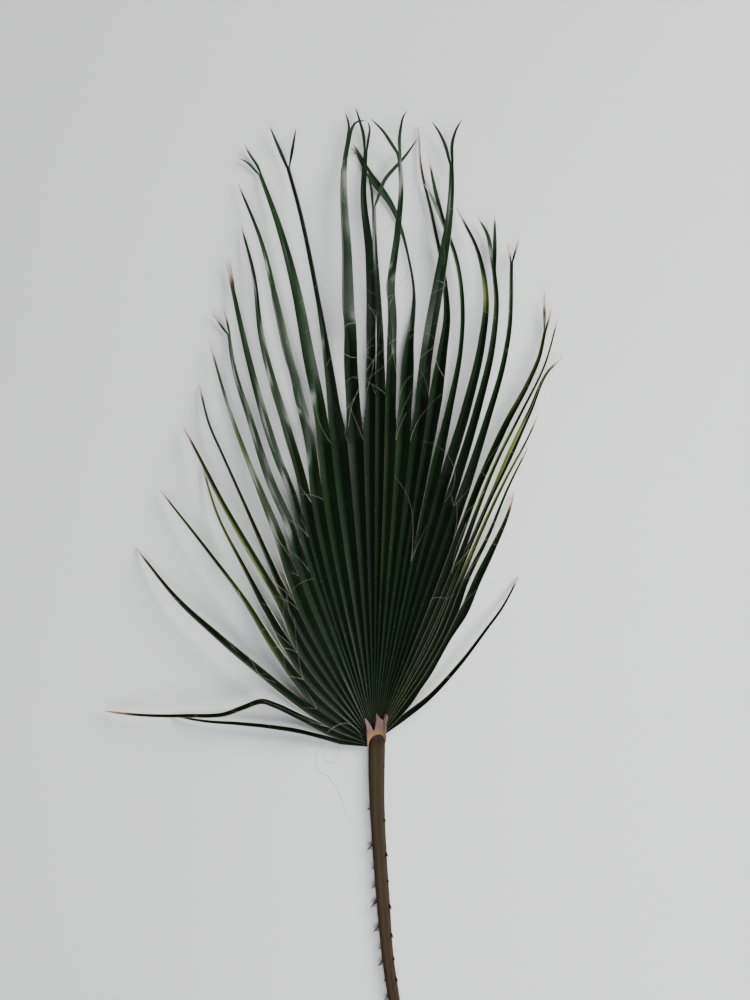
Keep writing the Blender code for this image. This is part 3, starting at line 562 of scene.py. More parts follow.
class Fan:
    """The shared part of the blade: every midrib and ridge at each of a row of stations."""

    def __init__(self, step):
        pitch = (COLLAR_LAST - COLLAR_FIRST) / len(SEGMENTS)
        degrees = [COLLAR_FIRST + pitch * (i + 0.5) for i in range(len(SEGMENTS))]
        collar = [collar_point(d) for d in degrees]
        self.lines = [curve_through([start] + list(one.path)) for start, one in zip(collar, SEGMENTS)]
        collar_ridges = [collar_point(COLLAR_FIRST + pitch * i) for i in range(len(SEGMENTS) + 1)]
        first = PARTING_RADII[0]
        first_ribs, first_ridges = self.row_at(first)
        self.radii, self.ribs, self.ridges = [], [], []
        count = round(first / step)
        for n in range(count):
            share = n / count
            self.radii.append(first * share)
            self.ribs.append([a.lerp(b, share) for a, b in zip(collar, first_ribs)])
            self.ridges.append([a.lerp(b, share) for a, b in zip(collar_ridges, first_ridges)])
        self.row_of = {0: 0}
        for near, far in zip(PARTING_RADII, PARTING_RADII[1:] + (PARTING_RADII[-1] + 1,)):
            self.row_of[near] = len(self.radii)
            count = math.ceil((far - near) / step)
            for n in range(count):
                radius = near + (far - near) * n / count
                ribs, ridges = self.row_at(radius)
                self.radii.append(radius)
                self.ribs.append(ribs)
                self.ridges.append(ridges)

    def row_at(self, radius):
        ribs = [at_radius(line, radius)[0] for line in self.lines]
        bearings = [bearing_of(point) for point in ribs]
        middles = [(a + b) / 2 for a, b in zip(bearings, bearings[1:])]
        outer = [2 * bearings[0] - middles[0]], [2 * bearings[-1] - middles[-1]]
        return ribs, [polar(radius, b) for b in outer[0] + middles + outer[1]]

    def ridge_height(self, row, ridge):
        """How high above z = 0 the margin runs that two neighbours share."""
        left = self.ribs[row][max(ridge - 1, 0)]
        right = self.ribs[row][min(ridge, len(SEGMENTS) - 1)]
        rise = (self.ridges[row][ridge] - left).length * math.tan(FOLD_ANGLE)
        return (keel_height(left) + keel_height(right)) / 2 + KEEL_DROP + min(rise, DEEPEST_PLEAT)


def opening_at(distance):
    return eased(distance / OPENING_RUN)


def raised(plan, height):
    return Vector((plan.x, plan.y, height))


def loose_gap(gap, other_gap):
    """The room that a margin takes up once it is free while the segment's other margin is still shared."""
    return min(gap, other_gap * FREE_MARGIN_MOST / FREE_MARGIN_SHARE)


def shared_sections(fan, i):
    """A segment's cross-sections from the collar to where both its margins are free."""
    one = SEGMENTS[i]
    parts = SEGMENTS[i - 1].parts if i else 0, one.parts
    last_row = fan.row_of[max(parts)]
    along = 0.0
    found = []
    for row in range(last_row + 1):
        rib = fan.ribs[row][i]
        if row:
            along += (rib - fan.ribs[row - 1][i]).length
        gaps = [(fan.ridges[row][i + side] - rib).length for side in (0, 1)]
        across = (fan.ridges[row][i + 1] - fan.ridges[row][i]).normalized()
        level = keel_height(rib) + KEEL_DROP + RIB_RISE
        margins, joined = [], []
        for side in (0, 1):
            ridge = fan.ridges[row][i + side]
            shared = raised(ridge, fan.ridge_height(row, i + side) + RIB_RISE)
            free_for = fan.radii[row] - max(parts[side], 1)
            open_share = opening_at(free_for) if row > fan.row_of[parts[side]] else 0.0
            half = loose_gap(gaps[side], gaps[1 - side]) * FREE_MARGIN_SHARE
            rise = min(half * math.tan(FOLD_ANGLE), DEEPEST_PLEAT)
            free = raised(rib + across * half * (2 * side - 1), level + rise)
            margins.append(shared.lerp(free, open_share))
            joined.append(1 - open_share)
        spot = raised(rib, level)
        found.append(Section(spot, margins[0] - spot, margins[1] - spot, across, along, tuple(joined)))
    for side in (0, 1):
        if parts[side] < parts[1 - side]:
            gaps[side] = loose_gap(gaps[side], gaps[1 - side])
    return found, gaps, parts


def leans_at(one, look_of_it, share):
    """How far the left and the right half of a segment lean to the right, in radians."""
    if not look_of_it.leans:
        return one.fold, -one.fold
    return [math.radians(degrees) for degrees in through(look_of_it.leans, share)]


def half_across(lean, side, length):
    """How far a half of a segment reaches out sideways, and how far it rises: a standing half is a short one."""
    length *= 1 - STANDING_SHORTER * eased((abs(lean) - STANDING_FROM) / STANDING_OVER)
    return length * math.cos(lean), min(length * math.sin(lean) * (1 - 2 * side), DEEPEST_PLEAT)


def free_sections(fan, i, last, gaps, parts, props, chance):
    """A segment's cross-sections from its last shared station to its end or fork."""
    one = SEGMENTS[i]
    radius = max(parts)
    if radius:
        rest = at_radius(fan.lines[i], radius)[1]
    else:
        rest = fan.lines[i]
    places = evenly(rest, props.step / MM)
    step = (places[1] - places[0]).length
    start = keel_height(places[0])
    wave_length = chance.uniform(70, 120)
    phases = chance.uniform(0, 6.3), chance.uniform(0, 6.3)
    found = []
    for n in range(1, len(places)):
        share = n / (len(places) - 1)
        gone = n * step
        across = across_of(places, n)
        half = width_along(sum(gaps), one, share) / 2
        near = 1 - eased((share - EVEN_FROM) / EVEN_OVER)
        level = start * (1 - share) + one.end * share + one.arch * 4 * share * (1 - share)
        level += KEEL_DROP + RIB_RISE
        leans = leans_at(one, LOOKS[i], share)
        length = 2 * half / sum(max(0.0, math.cos(lean)) for lean in leans)
        vectors, joined, widths = [], [], []
        for side in (0, 1):
            opened = opening_at(gone + radius - parts[side])
            target = mixed(gaps[side], min(half, FREE_MARGIN_SHARE * gaps[side]), opened)
            out, rise = half_across(leans[side], side, length)
            widths.append(mixed(out, target, near))
            settled = eased(gone / OPENING_RUN)
            before = last.left.z if side == 0 else last.right.z
            height = mixed(before, rise, settled)
            wave = math.sin(gone / wave_length * 2 * math.pi + phases[side])
            height += props.ripple / MM * wave * settled * min(1, half / 4)
            vectors.append(raised(across * widths[side] * (2 * side - 1), height))
            joined.append(1 - opened)
        shift = (max(0.0, widths[1]) - max(0.0, widths[0])) / 2 * (1 - near)
        spot = raised(places[n] - across * shift, level)
        found.append(Section(spot, vectors[0], vectors[1], across, last.along + gone, tuple(joined)))
    return found


def upper_normal(out, side_on):
    """The normal of the upper side of a half that runs from the midrib along out, on the side side_on."""
    width = out.x * side_on.x + out.y * side_on.y
    return Vector((-side_on.x * out.z, -side_on.y * out.z, width)).normalized()


# A ring of points round a cross-section: the upper side from left to right, and the underside the same way
Ring = namedtuple("Ring", "top under lie")


def section_ring(section, props, bows):
    """The points of one cross-section."""
    half_thick = props.lamina / MM / 2
    normals = upper_normal(section.left, -section.across), upper_normal(section.right, section.across)
    crest = (normals[0] + normals[1]).normalized()
    rib_half = half_thick / max(crest.dot(normals[0]), 0.3)
    top, under, lie = [], [], []
    for side in (0, 1):
        out = section.right if side else section.left
        normal, width = normals[side], out.length
        columns = COLUMNS[1:] if side else tuple(reversed(COLUMNS[1:]))
        if side:
            top.append(section.rib + crest * rib_half)
            under.append(section.rib - crest * (KEEL_DROP + RIB_RISE - LOWEST))
            lie.append((0.0, section.along, 0.0))
        for t in columns:
            place = section.rib + out * t + normal * (bows[side] * width * math.sin(math.pi * t))
            offset = normal * half_thick
            if t == 1.0:
                upright = Vector((0.0, 0.0, half_thick / math.cos(FOLD_ANGLE)))
                offset = offset.lerp(upright, section.joined[side])
            top.append(place + offset)
            under.append(place - offset)
            lie.append(((2 * side - 1) * t * width, section.along, t))
    too_low = LOWEST - min(point.z for point in under)
    too_high = max(point.z for point in top) - (cad_high.z / MM - LOWEST)
    if too_low > 0 or too_high > 0:
        lift = Vector((0.0, 0.0, too_low if too_low > 0 else -too_high))
        top = [point + lift for point in top]
        under = [point + lift for point in under]
    return Ring(top, under, lie)


def strip_ring(centre, across, half, tilt, thick, along):
    """The points of a flat strip's cross-section, which rises by tilt along across."""
    out = Vector((across.x * math.cos(tilt), across.y * math.cos(tilt), math.sin(tilt)))
    normal = Vector((-across.x * math.sin(tilt), -across.y * math.sin(tilt), math.cos(tilt)))
    top, under, lie = [], [], []
    for t in COLUMNS:
        place = centre + out * half * (2 * t - 1)
        top.append(place + normal * thick)
        under.append(place - normal * thick)
        lie.append((half * (2 * t - 1), along, t))
    return Ring(top, under, lie)


def tip_rings(section, side, path, end, props, chance):
    """The cross-sections of one of a segment's two thin tips."""
    out = section.right if side else section.left
    middle = section.rib + out * 0.5
    places = evenly(curve_through([middle.xy] + [Vector(p) for p in path]), props.step / MM)
    start_half = out.length / 2
    start_tilt = math.asin(max(-1.0, min(1.0, out.z / out.length)))
    end_tilt = start_tilt * chance.uniform(-0.2, 0.5)
    curl = chance.uniform(1.0, 5.0)
    outward = out.xy.normalized()
    thick = props.lamina / MM / 2
    belly = min(TIP_BELLY, TIP_BELLY_SHARE * len(places) * props.step / MM)
    rings, along = [], section.along
    for n in range(1, len(places)):
        share = n / (len(places) - 1)
        along += (places[n] - places[n - 1]).length
        across = across_of(places, n)
        if across.dot(outward) < 0:
            across = -across
        outward = across
        half = mixed(start_half, TIP_HALF_WIDTH, share) + belly * math.sin(math.pi * share ** 0.8)
        half *= 1 - 0.7 * eased((share - 0.85) / 0.15)
        tilt = mixed(start_tilt, end_tilt, eased(share / TIP_LIES_OVER / 2))
        height = mixed(middle.z, end + 0.6 + curl * share * share, eased(share / TIP_LIES_OVER))
        height = max(height, half * abs(math.sin(tilt)) + thick + LOWEST)
        rings.append(strip_ring(raised(places[n], height), across, half, tilt, thick, along))
    return rings


class Piece:
    """A mesh in the making: its points, faces and the two vectors that its finish reads at each point."""

    def __init__(self):
        self.points, self.faces, self.lies, self.looks = [], [], [], []

    def add(self, point, lie, looked):
        self.points.append(point)
        self.lies.append(lie)
        self.looks.append(looked)
        return len(self.points) - 1

    def grow(self, name, material, nodes=(), sharp=40):
        """The finished object, riding on the leaf."""
        mesh = bpy.data.meshes.new(name)
        moved = [((p.x - REST_POINT.x) * MM, (p.y - REST_POINT.y) * MM, p.z * MM) for p in self.points]
        mesh.from_pydata(moved, [], self.faces)
        for label, values in (("lie", self.lies), ("look", self.looks)):
            attribute = mesh.attributes.new(label, "FLOAT_VECTOR", "POINT")
            attribute.data.foreach_set("vector", np.array(values, np.float32).ravel())
        mesh.validate()
        mesh.shade_smooth()
        mesh.set_sharp_from_angle(angle=math.radians(sharp))
        mesh.materials.append(material)
        made = bpy.data.objects.new(name, mesh)
        bpy.context.scene.collection.objects.link(made)
        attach(made, BODY)
        if nodes:
            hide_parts(*nodes)
        return made


def add_ring(piece, ring, looks):
    """Adds a ring's points, and gives back the numbers of the upper and the lower ones."""
    top = [piece.add(p, lie, one) for p, lie, one in zip(ring.top, ring.lie, looks)]
    under = [piece.add(p, lie, one) for p, lie, one in zip(ring.under, ring.lie, looks)]
    return top, under


def join_rings(piece, before, after):
    """The skin between two rings of equally many points."""
    (top_a, under_a), (top_b, under_b) = before, after
    for j in range(len(top_a) - 1):
        piece.faces.append((top_a[j], top_a[j + 1], top_b[j + 1], top_b[j]))
        piece.faces.append((under_a[j + 1], under_a[j], under_b[j], under_b[j + 1]))
    piece.faces.append((under_a[0], top_a[0], top_b[0], under_b[0]))
    piece.faces.append((top_a[-1], under_a[-1], under_b[-1], top_b[-1]))


def close_ring(piece, ring, first):
    """The wall across the start or the end of a run of rings."""
    top, under = ring
    for j in range(len(top) - 1):
        wall = (top[j], under[j], under[j + 1], top[j + 1])
        piece.faces.append(wall if first else wall[::-1])


def yellow_at(one, share, side):
    """How far a half of a segment has yellowed at a share of its length."""
    amounts = [
        amount * halves[side] * eased((share - start) / YELLOW_FADE) * eased((stop - share) / YELLOW_FADE)
        for start, stop, amount, halves in one.yellow
    ]
    return max(amounts, default=0.0)


def ring_looks(one, ring, joined, to_end, share):
    """How dry, how yellow and how pale each point of a ring is: pale is the cream of the margins and midrib, and,
    along the shared ridges near the hub, a painted highlight.
    """
    dry = eased(1.15 - to_end / one.dry)
    half = len(ring.lie) // 2
    looks = []
    for n, (_, along, edge) in enumerate(ring.lie):
        side = 0 if n < half else 1
        pale = 0.0
        if edge == 1.0:
            # Painted highlight on the shared ridges near the hub, fading along the segment
            hub_ridge_highlight = HUB_RIDGE_HIGHLIGHT * joined[side] * (1 - eased(along / HUB_RIDGE_HIGHLIGHT_TO))
            pale = max(hub_ridge_highlight, one.pale[2 * side] * (1 - JOINED_GREEN * joined[side]))
        elif edge == 0.0:
            pale = one.pale[1]
        looks.append((dry, yellow_at(one, share, side), pale))
    return looks


def build_segment(fan, i, material, props):
    chance = random.Random(100 + i)
    piece = Piece()
    shared, gaps, parts = shared_sections(fan, i)
    free = free_sections(fan, i, shared[-1], gaps, parts, props, chance)
    if max(parts) == 0:
        shared = shared[:1]
    sections = shared + free
    tips = [tip_rings(sections[-1], side, path, SEGMENTS[i].end, props, chance)
            for side, path in enumerate(SEGMENTS[i].tips)]
    tip_length = max((rings[-1].lie[0][1] - sections[-1].along for rings in tips), default=0.0)
    whole = sections[-1].along + tip_length
    drift = chance.uniform(0, 6.3), chance.uniform(0, 6.3)
    one = LOOKS[i]

    def numbered(ring):
        tone = one.fresh * mixed(FOOT_TONE, 1.0, eased(ring.lie[0][1] / whole * 1.5 - 0.5))
        return ring._replace(lie=[(x, y + 1000.0 * i, tone) for x, y, _ in ring.lie])

    before = None
    for section in sections:
        sway = section.along / 90
        bows = [props.bow * (1 + 0.8 * math.sin(sway + d)) for d in drift]
        ring = section_ring(section, props, bows)
        looks = ring_looks(one, ring, section.joined, whole - section.along, section.along / whole)
        placed = add_ring(piece, numbered(ring), looks)
        if before:
            join_rings(piece, before, placed)
        else:
            close_ring(piece, placed, True)
        before = placed
    if not tips:
        close_ring(piece, before, False)
    top, under = before
    middle = len(top) // 2
    for side, rings in enumerate(tips):
        if side == 0:
            last = top[:middle + 1][::-1], under[:middle + 1][::-1]
        else:
            last = top[middle:], under[middle:]
        for ring in rings:
            along = ring.lie[0][1]
            looks = ring_looks(one, ring, (0, 0), rings[-1].lie[0][1] - along, along / whole)
            placed = add_ring(piece, numbered(ring), looks)
            join_rings(piece, last, placed)
            last = placed
        close_ring(piece, last, False)
    return piece.grow(f"segment_{i + 1:02d}", material, ["blade"], sharp=50)


class Nodes:
    """A node tree in the making."""

    def __init__(self, tree):
        self.tree = tree

    def add(self, kind, inputs=None, **settings):
        made = self.tree.nodes.new(kind)
        for name, value in settings.items():
            setattr(made, name, value)
        for name, value in (inputs or {}).items():
            self.feed(made.inputs[name], value)
        return made

    def feed(self, socket, value):
        if isinstance(value, bpy.types.NodeSocket):
            self.tree.links.new(value, socket)
        else:
            socket.default_value = value

    def math(self, operation, a, b=0.0, clamp=False):
        made = self.add("ShaderNodeMath", operation=operation, use_clamp=clamp)
        self.feed(made.inputs[0], a)
        self.feed(made.inputs[1], b)
        return made.outputs[0]

    def mix(self, share, a, b, blend="MIX"):
        made = self.add("ShaderNodeMix", data_type="RGBA", blend_type=blend)
        self.feed(made.inputs["Factor"], share)
        self.feed(made.inputs[6], a)
        self.feed(made.inputs[7], b)
        return made.outputs[2]

    def ramp(self, value, low, high, to_low=0.0, to_high=1.0):
        made = self.add("ShaderNodeMapRange", {"Value": value, "From Min": low, "From Max": high,
                                               "To Min": to_low, "To Max": to_high})
        made.interpolation_type = "SMOOTHSTEP"
        return made.outputs["Result"]

    def noise(self, vector, detail=2.0, rough=0.55, scale=1.0):
        return self.add("ShaderNodeTexNoise", {"Vector": vector, "Scale": scale, "Detail": detail,
                                               "Roughness": rough}).outputs["Fac"]

    def stretched(self, vector, factors):
        made = self.add("ShaderNodeVectorMath", operation="MULTIPLY")
        self.feed(made.inputs[0], vector)
        self.feed(made.inputs[1], factors)
        return made.outputs[0]

    def read(self, label):
        return self.add("ShaderNodeAttribute", attribute_name=label, attribute_type="GEOMETRY").outputs["Vector"]

    def split(self, vector):
        return self.add("ShaderNodeSeparateXYZ", {"Vector": vector}).outputs


def colour(value):
    return (*value, 1.0)


def new_group(name, inputs, outputs):
    """An empty shader group with the named sockets, and its input and output nodes."""
    group = bpy.data.node_groups.new(name, "ShaderNodeTree")
    for label, kind, default in inputs:
        socket = group.interface.new_socket(label, in_out="INPUT", socket_type=kind)
        if default is not None:
            socket.default_value = default
    for label, kind in outputs:
        group.interface.new_socket(label, in_out="OUTPUT", socket_type=kind)
    nodes = Nodes(group)
    return group, nodes, nodes.add("NodeGroupInput").outputs, nodes.add("NodeGroupOutput").inputs


def fibre_group():
    """Fine lines along a leaf or stalk: their height, and a slower streak of light and dark."""
    group = bpy.data.node_groups.get("long_fibres")
    if group:
        return group
    group, nodes, given, result = new_group(
        "long_fibres",
        [("Lie", "NodeSocketVector", None), ("Spacing", "NodeSocketFloat", 0.6),
         ("Run", "NodeSocketFloat", 60.0)],
        [("Height", "NodeSocketFloat"), ("Streak", "NodeSocketFloat")],
    )
    parts = nodes.split(given["Lie"])
    across = nodes.math("DIVIDE", parts["X"], given["Spacing"])
    along = nodes.math("DIVIDE", parts["Y"], given["Run"])
    fine = nodes.add("ShaderNodeCombineXYZ", {"X": across, "Y": along}).outputs["Vector"]
    nodes.feed(result["Height"], nodes.noise(fine, detail=2.0, rough=0.6))
    slow = nodes.stretched(fine, (0.22, 0.7, 1.0))
    nodes.feed(result["Streak"], nodes.ramp(nodes.noise(slow, detail=3.0), 0.3, 0.7))
    return group


def patch_group():
    """Soft uneven patches and small specks over a grown surface."""
    group = bpy.data.node_groups.get("grown_patches")
    if group:
        return group
    group, nodes, given, result = new_group(
        "grown_patches",
        [("Lie", "NodeSocketVector", None), ("Size", "NodeSocketFloat", 20.0),
         ("Speck Size", "NodeSocketFloat", 1.2)],
        [("Patches", "NodeSocketFloat"), ("Specks", "NodeSocketFloat")],
    )
    wide = nodes.add("ShaderNodeVectorMath", operation="DIVIDE")
    nodes.feed(wide.inputs[0], nodes.stretched(given["Lie"], (1.0, 0.35, 0.0)))
    size = nodes.add("ShaderNodeCombineXYZ", {"X": given["Size"], "Y": given["Size"], "Z": 1.0})
    nodes.feed(wide.inputs[1], size.outputs["Vector"])
    nodes.feed(result["Patches"], nodes.ramp(nodes.noise(wide.outputs[0], detail=3.0), 0.32, 0.68))
    small = nodes.add("ShaderNodeVectorMath", operation="DIVIDE")
    nodes.feed(small.inputs[0], nodes.stretched(given["Lie"], (1.0, 0.6, 0.0)))
    size = nodes.add("ShaderNodeCombineXYZ", {"X": given["Speck Size"], "Y": given["Speck Size"], "Z": 1.0})
    nodes.feed(small.inputs[1], size.outputs["Vector"])
    nodes.feed(result["Specks"], nodes.ramp(nodes.noise(small.outputs[0], detail=1.0), 0.72, 0.80))
    return group


def new_material(name, roughness, specular=0.5):
    """A material with only its shader, and the parts that a finish needs."""
    made = bpy.data.materials.new(name)
    made.use_nodes = True
    nodes = Nodes(made.node_tree)
    shader = made.node_tree.nodes["Principled BSDF"]
    shader.inputs["Roughness"].default_value = roughness
    shader.inputs["Specular IOR Level"].default_value = specular
    return made, nodes, shader.inputs


def use_group(nodes, group, inputs):
    made = nodes.add("ShaderNodeGroup", node_tree=group)
    for label, value in inputs.items():
        nodes.feed(made.inputs[label], value)
    return made.outputs


def bump(nodes, height, distance, strength=1.0):
    made = nodes.add("ShaderNodeBump", {"Height": height, "Distance": distance, "Strength": strength})
    return made.outputs["Normal"]


def blade_material(props):
    made, nodes, shader = new_material("leaf_flesh", 0.42, 0.36)
    lie, looked = nodes.read("lie"), nodes.split(nodes.read("look"))
    fibres = use_group(nodes, fibre_group(), {"Lie": lie, "Spacing": 0.55, "Run": 70.0})
    patches = use_group(nodes, patch_group(), {"Lie": lie, "Size": 26.0, "Speck Size": 1.3})
    tone = nodes.math("ADD", nodes.math("MULTIPLY", patches["Patches"], 0.5),
                      nodes.math("MULTIPLY", fibres["Streak"], 0.3))
    tone = nodes.math("MULTIPLY", nodes.math("ADD", tone, 0.5), nodes.split(lie)["Z"], clamp=True)
    green = nodes.mix(tone, colour(props.deep), colour(props.fresh))
    fine = nodes.ramp(fibres["Height"], 0.3, 0.7, 0.82, 1.12)
    green = nodes.mix(1.0, green, nodes.add("ShaderNodeCombineXYZ", {"X": fine, "Y": fine, "Z": fine}).outputs[0],
                      "MULTIPLY")
    ragged = nodes.math("MULTIPLY", nodes.ramp(fibres["Streak"], 0.0, 1.0, 0.55, 1.2), looked["Y"], clamp=True)
    green = nodes.mix(ragged, green, colour(props.yellowed))
    speck = nodes.math("MULTIPLY", patches["Specks"], 0.35)
    green = nodes.mix(speck, green, colour(props.cream))
    # Cream margins and midrib, plus the painted highlight on the shared ridges near the hub
    edge = nodes.math("MULTIPLY", nodes.ramp(looked["Z"], 0.12, 0.55), nodes.ramp(looked["Z"], 0.0, 1.0, 0.3, 0.95))
    green = nodes.mix(edge, green, colour(props.cream))
    withering = nodes.math("ADD", looked["X"], nodes.math("MULTIPLY", fibres["Streak"], 0.35))
    withered = nodes.mix(nodes.ramp(withering, 0.35, 0.6), green, colour(props.rust))
    dry = nodes.ramp(withering, 0.55, 1.0)
    nodes.feed(shader["Base Color"], nodes.mix(dry, withered, colour(props.straw)))
    rough = nodes.math("ADD", nodes.ramp(tone, 0.0, 1.0, 0.34, 0.44), nodes.math("MULTIPLY", dry, 0.25))
    nodes.feed(shader["Roughness"], rough)
    nodes.feed(shader["Normal"], bump(nodes, fibres["Height"], 0.00012, 0.6))
    return made


def thread_material(props):
    made, nodes, shader = new_material("thread_fibre", 0.6, 0.3)
    lie = nodes.read("lie")
    patches = use_group(nodes, patch_group(), {"Lie": lie, "Size": 30.0, "Speck Size": 2.0})
    darker = colour([c * 0.55 for c in props.colour])
    nodes.feed(shader["Base Color"], nodes.mix(patches["Patches"], darker, colour(props.colour)))
    return made


def stalk_material(props):
    made, nodes, shader = new_material("stalk_skin", 0.5, 0.07)
    lie, looked = nodes.read("lie"), nodes.split(nodes.read("look"))
    fibres = use_group(nodes, fibre_group(), {"Lie": lie, "Spacing": 0.9, "Run": 45.0})
    patches = use_group(nodes, patch_group(), {"Lie": lie, "Size": 12.0, "Speck Size": 0.9})
    skin = nodes.mix(looked["X"], colour(props.green), colour(props.brown))
    stain = nodes.math("MULTIPLY", nodes.math("ADD", nodes.math("MULTIPLY", patches["Patches"], 0.7),
                                              nodes.math("MULTIPLY", fibres["Streak"], 0.3)), 0.75)
    stain = nodes.math("ADD", nodes.math("MULTIPLY", stain, 0.35), looked["Y"], clamp=True)
    skin = nodes.mix(stain, skin, colour(props.red))
    skin = nodes.mix(nodes.math("MULTIPLY", patches["Specks"], 0.5), skin, (0.02, 0.012, 0.01, 1.0))
    dots = nodes.add("ShaderNodeTexVoronoi", {"Vector": lie, "Scale": 0.9}).outputs["Distance"]
    face = nodes.mix(nodes.ramp(dots, 0.15, 0.35), colour([c * 0.35 for c in props.pith]), colour(props.pith))
    nodes.feed(shader["Base Color"], nodes.mix(looked["Z"], skin, face))
    nodes.feed(shader["Roughness"], nodes.ramp(patches["Patches"], 0.0, 1.0, 0.46, 0.62))
    nodes.feed(shader["Normal"], bump(nodes, fibres["Height"], 0.00025, 0.6))
    return made


def tooth_material(props):
    made, nodes, shader = new_material("tooth_horn", 0.3)
    lie, looked = nodes.read("lie"), nodes.split(nodes.read("look"))
    patches = use_group(nodes, patch_group(), {"Lie": lie, "Size": 5.0, "Speck Size": 0.5})
    horn = nodes.mix(nodes.math("MULTIPLY", patches["Patches"], 0.6), colour(props.horn),
                     colour([c * 2.2 for c in props.horn]))
    nodes.feed(shader["Base Color"], nodes.mix(looked["X"], colour(props.brown), horn))
    nodes.feed(shader["Roughness"], nodes.ramp(patches["Patches"], 0.0, 1.0, 0.28, 0.42))
    return made


def hastula_material(props):
    made, nodes, shader = new_material("dry_paper", 0.7, 0.3)
    lie, looked = nodes.read("lie"), nodes.split(nodes.read("look"))
    fibres = use_group(nodes, fibre_group(), {"Lie": lie, "Spacing": 0.5, "Run": 12.0})
    patches = use_group(nodes, patch_group(), {"Lie": lie, "Size": 6.0, "Speck Size": 0.8})
    paper = nodes.mix(nodes.math("MULTIPLY", fibres["Streak"], 0.8), colour(props.paper),
                      colour([c * 0.55 for c in props.paper]))
    paper = nodes.mix(nodes.math("MULTIPLY", patches["Patches"], 0.6), paper, colour(props.edge))
    foot = nodes.math("MULTIPLY", looked["Y"], nodes.ramp(patches["Patches"], 0.0, 1.0, 0.6, 1.1), clamp=True)
    paper = nodes.mix(foot, paper, colour(props.rim))
    torn = nodes.math("MULTIPLY", looked["X"], nodes.ramp(fibres["Streak"], 0.0, 1.0, 0.5, 1.0))
    nodes.feed(shader["Base Color"], nodes.mix(torn, paper, colour(props.edge)))
    nodes.feed(shader["Normal"], bump(nodes, fibres["Height"], 0.0003, 0.8))
    return made


def height_map(cell):
    """The highest point of the blade over each square cell of the plan, in millimetres."""
    heights = {}
    for piece in bpy.data.objects:
        if not piece.name.startswith("segment_"):
            continue
        flat = np.empty(len(piece.data.vertices) * 3, np.float32)
        piece.data.vertices.foreach_get("co", flat)
        points = flat.reshape(-1, 3) / MM
        points[:, 0] += REST_POINT.x
        points[:, 1] += REST_POINT.y
        for x, y, z in points:
            key = math.floor(x / cell), math.floor(y / cell)
            if z > heights.get(key, 0.0):
                heights[key] = float(z)
    return heights


def ground_under(heights, cell, point):
    column, row = math.floor(point.x / cell), math.floor(point.y / cell)
    return max(heights.get((column + dx, row + dy), 0.0) for dx in (0, 1, -1) for dy in (0, 1, -1))


def draped(plan, heights, cell, radius, slack):
    """The height of a thread along its plan: over what lies under it, and sagging a little between."""
    ground = [ground_under(heights, cell, point) + radius for point in plan]
    height = list(ground)
    for _ in range(60):
        for n in range(1, len(height) - 1):
            height[n] = max(ground[n], (height[n - 1] + height[n + 1]) / 2 - slack)
    top = cad_high.z / MM - radius - 0.1
    return [raised(point, min(z, top)) for point, z in zip(plan, height)]


def add_thread(piece, points, radius, sides, number):
    """A tapering tube along the points."""
    before, along = None, 0.0
    for n, point in enumerate(points):
        if n:
            along += (point - points[n - 1]).length
        ahead = (points[min(n + 1, len(points) - 1)] - points[max(n - 1, 0)]).normalized()
        flat = Vector((ahead.y, -ahead.x, 0.0)).normalized()
        up = flat.cross(ahead)
        thin = radius * (1 - 0.6 * n / len(points))
        ring = []
        for k in range(sides):
            turn = 2 * math.pi * k / sides
            corner = point + (flat * math.cos(turn) + up * math.sin(turn)) * thin
            ring.append(piece.add(corner, (thin * turn, along + 1000.0 * number, 0.0), (0.0, 0.0, 0.0)))
        if before:
            for k in range(sides):
                j = (k + 1) % sides
                piece.faces.append((before[k], before[j], ring[j], ring[k]))
        else:
            piece.faces.append(tuple(reversed(ring)))
        before = ring
    piece.faces.append(tuple(before))


def inside_box(point, spare):
    low, high = cad_low / MM, cad_high / MM
    x, y = point.x - REST_POINT.x, point.y - REST_POINT.y
    return low.x + spare < x < high.x - spare and low.y + spare < y < high.y - spare


def wandering(start, bearing, length, step, curl, chance):
    """A plan curve that leaves start along a bearing and curls as a dry fibre does."""
    place, turn, bend = start.copy(), bearing, chance.uniform(-curl, curl)
    plan = [place.copy()]
    for _ in range(round(length / step)):
        bend += chance.uniform(-curl, curl) * 0.22
        bend = max(-1.6 * curl, min(1.6 * curl, bend))
        turn += bend * step
        place = place + polar(step, turn)
        if not inside_box(place, 2.0):
            break
        plan.append(place.copy())
    return plan


def build_threads(material, props, step):
    """The loose threads, and those that still run along the margins."""
    cell, spacing, sides = 3.0, 3.0, 5
    heights = height_map(cell)
    fan = Fan(step / MM)
    radius = props.diameter / MM / 2
    chance = random.Random(7)
    plans = [evenly(curve_through([Vector(p) for p in known]), spacing) for known in KNOWN_THREADS]
    for i in range(len(SEGMENTS) - 1):
        parts = SEGMENTS[i].parts
        if parts < 60:
            continue
        row = fan.row_of[parts]
        start = fan.ridges[row][i + 1]
        for _ in range(chance.randint(1, props.per_parting)):
            length = chance.uniform(0.25, 1.0) ** 2 * props.longest / MM
            bearing = bearing_of(start) + chance.gauss(0, 0.3)
            plans.append(wandering(start, bearing, length, spacing, 0.016, chance))
    for i, line in enumerate(fan.lines):
        for _ in range(chance.randint(1, 2)):
            place = line[chance.randint(len(line) // 2, len(line) - 8)]
            bearing = bearing_of(place) + chance.choice((-1, 1)) * chance.uniform(0.3, 1.3)
            length = chance.uniform(12, 50)
            plans.append(wandering(place, bearing, length, spacing, 0.05, chance))
    piece = Piece()
    for number, plan in enumerate(plans):
        if len(plan) > 4:
            thin = radius * (chance.uniform(0.8, 1.0) if number < len(KNOWN_THREADS) else 0.6)
            slack = chance.uniform(0.01, 0.04)
            add_thread(piece, draped(plan, heights, cell, thin, slack), thin, sides, number)
    return piece.grow("margin_threads", material, sharp=180)


def petiole_centre(y):
    dense = curve_through(PETIOLE_PATH)
    return through([(point.x, point.y) for point in dense], y)


